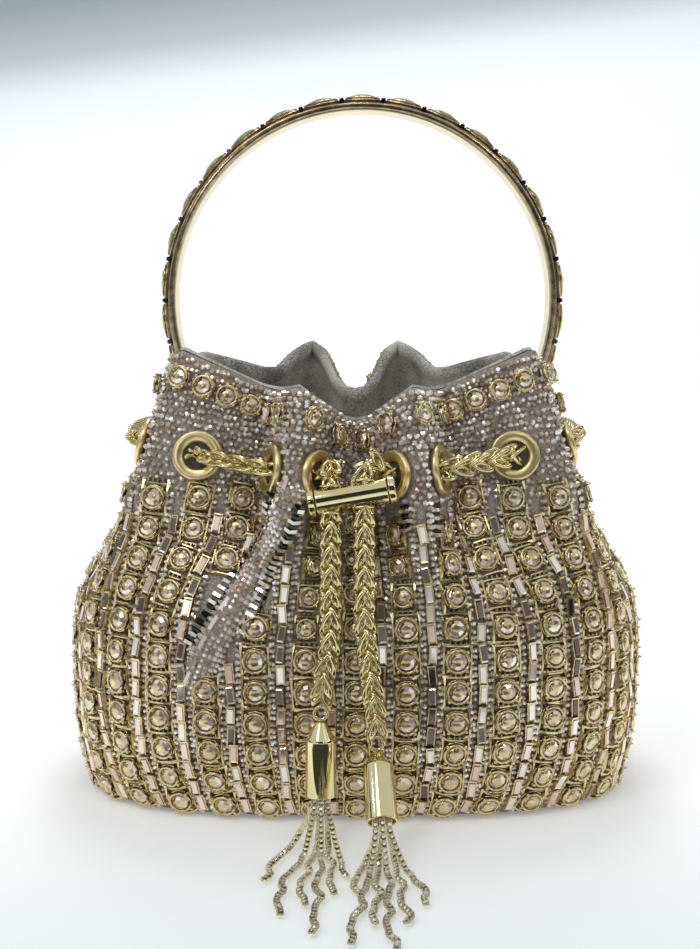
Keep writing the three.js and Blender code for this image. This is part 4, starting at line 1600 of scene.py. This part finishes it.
@dataclass(frozen=True)
class Chains:
    """Drawstring through every eyelet, the two pull chains and what hangs from them.

    Hangs are the points of each pull chain below the slider, leans the directions of the bell
    caps and routes the ways of the fringe chains over the floor, all in millimetres.
    """

    shape: BodyShape
    palette: Palette
    eyelets: Eyelets
    slider: Slider
    width: float = 4.6
    reach: float = 3.6
    link_pitch: float = 2.75
    straight: tuple[float, ...] = (-0.16, 0, 0.15, 0.4, 0.7, 1)
    bell: float = 4.0
    bell_length: float = 19.6
    fringe_width: float = 1.7
    fringe_pitch: float = 1.95
    fringe_ring: float = 2.05
    curl: float = 0.65
    curl_step: float = 3.6
    hangs: tuple[tuple[Point, ...], ...] = (
        ((-7.2, -69, 48), (-8.4, -69.3, 42), (-9.2, -69.3, 35.4)),
        ((3, -69, 48), (3.9, -69.8, 41), (4.8, -70, 34), (5.3, -70, 27.6)),
    )
    leans: tuple[Point, ...] = ((0, 0, -1), (0.05, -0.66, -0.75))
    routes: tuple[tuple[tuple[tuple[float, float], ...], ...], ...] = (
        (
            ((-16.3, -79), (-20, -90), (-22.5, -103)),
            ((-10, -80), (-11, -90), (-13, -104), (-12.8, -119)),
            ((-7.2, -77.5), (-6.7, -88), (-6, -100), (-6.4, -112)),
            ((-4.2, -89), (-3.4, -94), (-3, -101)),
            ((-8.9, -86), (-8.7, -92), (-9.4, -106), (-9.2, -121), (-10.4, -136)),
            ((-13, -85), (-14.2, -91), (-17, -103), (-18.5, -114), (-17, -125)),
        ),
        (
            ((2.2, -92), (0.4, -100), (-0.6, -112)),
            ((5.4, -93), (5, -104), (4.6, -118), (3.4, -130)),
            ((9.4, -92), (10.3, -104), (10.6, -118), (11.5, -130)),
            ((12, -98), (13.6, -102), (15.4, -110), (16, -119)),
            ((7.2, -96), (7.7, -102), (7.5, -115), (6.8, -129), (8, -145)),
            ((3.6, -95), (2.7, -101), (1.8, -113), (-0.4, -127), (-2, -142)),
        ),
    )

    def build(self) -> None:
        """Makes the drawstring, then each pull chain with its ring, cap and fringe."""
        self._drawstring()
        for index, name in enumerate(("left", "right")):
            self._pull(index, name)

    def _links(self, name: str, line: Line, front: Point, steady: bool) -> bpy.types.Object:
        """Wheat chain along a line: pairs of leaning loops, in front and behind by turns.

        Args:
            name: Name of the object.
            line: Line of the chain's middle.
            front: Direction that the first pair looks to.
            steady: Whether every pair keeps to that direction.

        Returns:
            The object.
        """
        pair = Stencil()
        for side in SIDES:
            place = (
                Matrix.Translation((side * 0.95, -1.0, 0.7 if side > 0 else 0))
                @ Matrix.Rotation(math.radians(side * 24), 4, "Y")
                @ Matrix.Rotation(math.radians(side * -38), 4, "Z")
                @ Matrix.Rotation(math.pi / 2, 4, "X")
            )
            pair.ring(1.0, 0.55, place, 0, 14, 6, 2.6)
        places = line.frames(front, steady)[:-1]
        places[1::2, :3, :2] *= -1
        return tile(name, pair, places, [self.palette.chain])

    def _drawstring(self) -> None:
        """Chain in and out through every eyelet, from the right front one round to the left."""
        middles, outs = self.eyelets.middles()
        order = np.argsort(np.mod(self.eyelets.order(), self.shape.steps))
        points = []
        for index, k in enumerate(order):
            through = [middles[k] + outs[k] * self.reach * MM * s for s in (1, 0, -1)]
            points += through if index % 2 == 0 else through[::-1]
        line = Line(np.array(points), self.link_pitch * MM)
        settle(self._links("neck_links", line, (0, -1, 0), False), "root", ["neck_chain"])

    def _pull(self, index: int, name: str) -> None:
        """One pull chain and all that hangs from it.

        Args:
            index: 0 for the left one and 1 for the right one.
            name: Its side.
        """
        middle, out = (rows[1 - index] for rows in self.eyelets.middles())
        leaving = [middle + out * (self.reach + more) * MM for more in (0.3, 2)]
        hole, down = self.slider.holes()[index], self.slider.down()
        over = hole - down * 8 * MM
        top = leaving[1] * 0.4 + over * 0.6
        top[2] = over[2] + 0.5 * MM
        run = self.slider.travel + self.slider.radius
        straight = [hole + down * share * run * MM for share in self.straight]
        hang = [mm(*p) for p in self.hangs[index]]
        line = Line(np.array([*leaving, top, *straight, *hang]), self.link_pitch * MM)
        chain = self._links(f"pull_links_{name}", line, (0, -1, 0.7), True)
        settle(chain, "root", [f"pull_chain_{name}"])
        lean = unit(np.array(self.leans[index], float))
        ring, cap, neck = self._cap(name, hang[-1], lean)
        line.length()
        self._fringe(index, name, neck, lean)

    def _cap(self, name: str, end: np.ndarray,
             lean: np.ndarray) -> tuple[bpy.types.Object, bpy.types.Object, np.ndarray]:
        """Jump ring and bell cap below the end of a pull chain.

        Args:
            name: Side of the chain.
            end: End of the chain.
            lean: Direction from the cap's neck to its mouth.

        Returns:
            The ring, the cap and the point at the cap's neck.
        """
        centre = end - mm(0, 0, 2.1)
        x, y, z = np.eye(3)
        upright = frames_of(x, z, -y, centre[None])
        wire = Stencil().ring(1.7, 0.45, None, 0, 28, 10)
        ring = tile(f"end_ring_{name}", wire, upright, [self.palette.gold])
        settle(ring, "root", [f"jump_ring_{name}"])
        neck = centre + lean * 2.3 * MM
        r, long = self.bell, self.bell_length
        profile = [
            (0, 0), (1.25, 0), (1.4, 0.1), (r - 0.45, 4.0), (r - 0.1, 4.5), (r, 4.9), (r, long - 0.2),
            (r - 0.15, long), (r - 0.45, long), (r - 0.5, long - 0.3), (r - 0.5, long - 3), (0, long - 3),
        ]
        cap = tile(f"end_cap_{name}", Stencil().turned(profile, 56), stand(lean, neck), [self.palette.gold])
        flatten(cap)
        settle(cap, "root", [f"bell_cap_{name}"])
        return ring, cap, neck

    def _cup_link(self, side: float) -> Stencil:
        """One link of cup chain: a square plate, four claws and a stone on its other side.

        Args:
            side: 1 for the plate in front and -1 for the stone in front.

        Returns:
            The link.
        """
        link = Stencil()
        link.box((1.5, 1.5, 0.3), (0, 0, 0.25))
        link.box((1.3, 1.3, 0.45), (0, 0, -0.2))
        link.cone((0.72, 0.72), 0.25, -0.4, 1, 8).cone((0.4, 0.72), 0.3, -0.7, 1, 8, 22.5)
        link.box((0.5, 0.7, 0.25), (0, 1.05, -0.05))
        for x in (-0.68, 0.68):
            for y in (-0.68, 0.68):
                link.box((0.22, 0.22, 0.75), (x, y, -0.5))
        bmesh.ops.transform(link.bm, matrix=Matrix.Rotation(math.pi / 2 * side, 4, "X"), verts=link.bm.verts)
        return link

    def _curled(self, points: np.ndarray, hanging: int, order: int) -> Line:
        """Line of one fringe chain, with small curls where it lies on the floor.

        Args:
            points: Points from the cap to the free end.
            hanging: How many of them hang in the air.
            order: Number of the chain, which shifts its curls.

        Returns:
            The line.
        """
        floor = Line(points[hanging:], self.curl_step * MM).stations()
        along = unit(np.gradient(floor, axis=0))
        side = np.stack([-along[:, 1], along[:, 0], 0 * along[:, 0]], axis=1)
        count = np.arange(len(floor))
        swing = np.sin(count * 1.25 + order) + 0.6 * np.sin(count * 2.3 + 2.1 * order)
        swing = swing * np.clip(count / 4, 0, 1) * self.curl * MM
        return Line(np.vstack([points[:hanging], floor + side * swing[:, None]]), self.fringe_pitch * MM)

    def _fringe(self, index: int, name: str, neck: np.ndarray, lean: np.ndarray) -> None:
        """Six fine cup chains out of a cap's mouth and onto the floor.

        Args:
            index: 0 for the left cap and 1 for the right one.
            name: Side of the cap.
            neck: Point at the cap's neck.
            lean: Direction from the neck to the mouth.
        """
        roof, mouth = neck + lean * (self.bell_length - 2.7) * MM, neck + lean * self.bell_length * MM
        across = unit(np.array([1, 0, 0]) - lean * lean[0])
        forward = unit(np.cross(across, lean))
        names = [self.palette.fringe, self.palette.fringe_stone]
        for k, route in enumerate(self.routes[index]):
            angle = (k + 0.5) / len(self.routes[index]) * 2 * math.pi
            ring = self.fringe_ring
            offset = (-ring * math.cos(angle) * across + ring * math.sin(angle) * forward) * MM
            falls = [p + offset for p in (roof, mouth, mouth + lean * 2.5 * MM)]
            lies = [mm(x, y, 1.25 if i else 1.7) for i, (x, y) in enumerate(route)]
            line = self._curled(np.array([*falls, *lies]), len(falls), k)
            places = line.frames()
            plate_in_front = math.sin(angle) > 0.3
            if plate_in_front:
                places[places[:, 2, 3] < 3.5 * MM, :3, :2] *= -1
            link = self._cup_link(1 if plate_in_front else -1)
            tones = chance(k + 10 * index, len(places))
            piece = tile(f"fringe_links_{name}_{k + 1}", link, places, names, tones)
            settle(piece, "root", [f"fringe_{name}_{k + 1}"])
            line.length()
            line.trace()


@dataclass(frozen=True)
class Studio:
    """White sweep, lamps, dark cards that the metal mirrors, and the camera.

    Cards are a place, a turn in degrees and a size. Lamps are a place, a power and a size.
    """

    place: Point = (-0.00165, -0.4774, 0.1367)
    pitch: float = 84.22
    lens: float = 61.03
    target: Point = (0, 0, 0.08)
    cards: tuple[tuple[str, Point, Point, tuple[float, float]], ...] = (
        ("card_front", (0, -0.95, 0.42), (90, 0, 0), (1.3, 0.62)),
        ("card_floor", (-0.009, -0.17, 0.001), (0, 0, 0), (0.17, 0.13)),
        ("card_left", (-0.75, -0.15, 0.2), (0, 90, 0), (0.25, 0.5)),
        ("card_right", (0.6, -0.3, 0.22), (0, 90, -25), (0.35, 0.5)),
    )
    lamps: tuple[tuple[str, Point, float, float], ...] = (
        ("key", (-0.35, -0.55, 0.75), 1.0, 0.35),
        ("fill", (0.5, -0.5, 0.55), 0.05, 0.3),
        ("back", (0.0, 0.35, 0.75), 2.0, 0.35),
        ("spark_0", (-0.25, -0.7, 0.35), 0.14, 0.02),
        ("spark_1", (0.3, -0.75, 0.5), 0.14, 0.02),
        ("spark_2", (0.0, -0.6, 0.7), 0.14, 0.02),
        ("spark_3", (0.6, -0.2, 0.4), 0.14, 0.02),
        ("spark_4", (-0.6, -0.2, 0.5), 0.14, 0.02),
    )
    sky: Colour = (0.93, 0.97, 1)
    sky_strength: float = 0.6

    def build(self) -> None:
        """Makes everything that isn't part of the bag."""
        self._sweep()
        for name, at, turn, size in self.cards:
            self._card(name, at, turn, size)
        for name, at, power, size in self.lamps:
            self._lamp(name, at, power, size)
        world = bpy.data.worlds.new("world")
        world.use_nodes = True
        background = world.node_tree.nodes["Background"]
        background.inputs["Color"].default_value = (*self.sky, 1)
        background.inputs["Strength"].default_value = self.sky_strength
        bpy.context.scene.world = world
        bpy.context.scene.view_settings.view_transform = "Standard"
        self._camera()

    def _sweep(self) -> None:
        """Floor that curves up into a backdrop."""
        profile = [(-1.6, 0), (0.35, 0)]
        for k in range(1, 13):
            turn = k / 12 * math.pi / 2
            profile.append((0.35 + 0.5 * math.sin(turn), 0.5 - 0.5 * math.cos(turn)))
        profile.append((0.85, 2.0))
        rows = np.array([[(x, y, z - 0.0002) for x in (-2.5, 2.5)] for y, z in profile])
        grid("sweep", rows, [Backdrop().build()], closed=False)

    def _card(self, name: str, at: Point, turn: Point, size: tuple[float, float]) -> None:
        """Dark card that only mirrors see.

        Args:
            name: Name of the object.
            at: Its middle.
            turn: Its turn about the three axes, in degrees.
            size: Its width and length.
        """
        bm = bmesh.new()
        bmesh.ops.create_grid(bm, x_segments=1, y_segments=1, size=0.5)
        bmesh.ops.scale(bm, vec=(*size, 1), verts=bm.verts)
        mesh = bpy.data.meshes.new(name)
        bm.to_mesh(mesh)
        bm.free()
        card = put(name, mesh, [Plain(name, (0.03, 0.035, 0.03)).build()])
        card.location, card.rotation_euler = at, [math.radians(v) for v in turn]
        card.visible_camera = card.visible_diffuse = card.visible_shadow = False

    def _lamp(self, name: str, at: Point, power: float, size: float) -> None:
        """Round area lamp that faces the bag.

        Args:
            name: Name of the object.
            at: Its middle.
            power: Its power in watts.
            size: Its diameter.
        """
        light = bpy.data.lights.new(name, "AREA")
        light.shape, light.size, light.energy = "DISK", size, power
        lamp = bpy.data.objects.new(name, light)
        lamp.location = at
        lamp.rotation_euler = (Vector(self.target) - Vector(at)).to_track_quat("-Z", "Y").to_euler()
        bpy.context.scene.collection.objects.link(lamp)

    def _camera(self) -> None:
        """Camera that was fitted to the photograph."""
        data = bpy.data.cameras.new("camera")
        data.lens, data.sensor_width, data.clip_start = self.lens, 36, 0.01
        camera = bpy.data.objects.new("camera", data)
        camera.location, camera.rotation_euler = self.place, (math.radians(self.pitch), 0, 0)
        bpy.context.scene.collection.objects.link(camera)
        bpy.context.scene.camera = camera


def main() -> None:
    """Builds the studio and every part of the bag."""
    logging.basicConfig(level=logging.INFO, format="%(relativeCreated)6d %(message)s")
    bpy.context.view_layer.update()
    Studio().build()
    palette, shape = Palette(), BodyShape()
    eyelets, slider, pleat = Eyelets(shape, palette), Slider(palette), Pleat(shape, palette)
    Lining(shape, palette).build()
    Body(shape, palette, eyelets, slider, pleat).build()
    pleat.build()
    eyelets.build()
    Hoop(palette).build()
    Tabs(palette).build()
    slider.build()
    Chains(shape, palette, eyelets, slider).build()


if __name__ == "__main__":
    main()
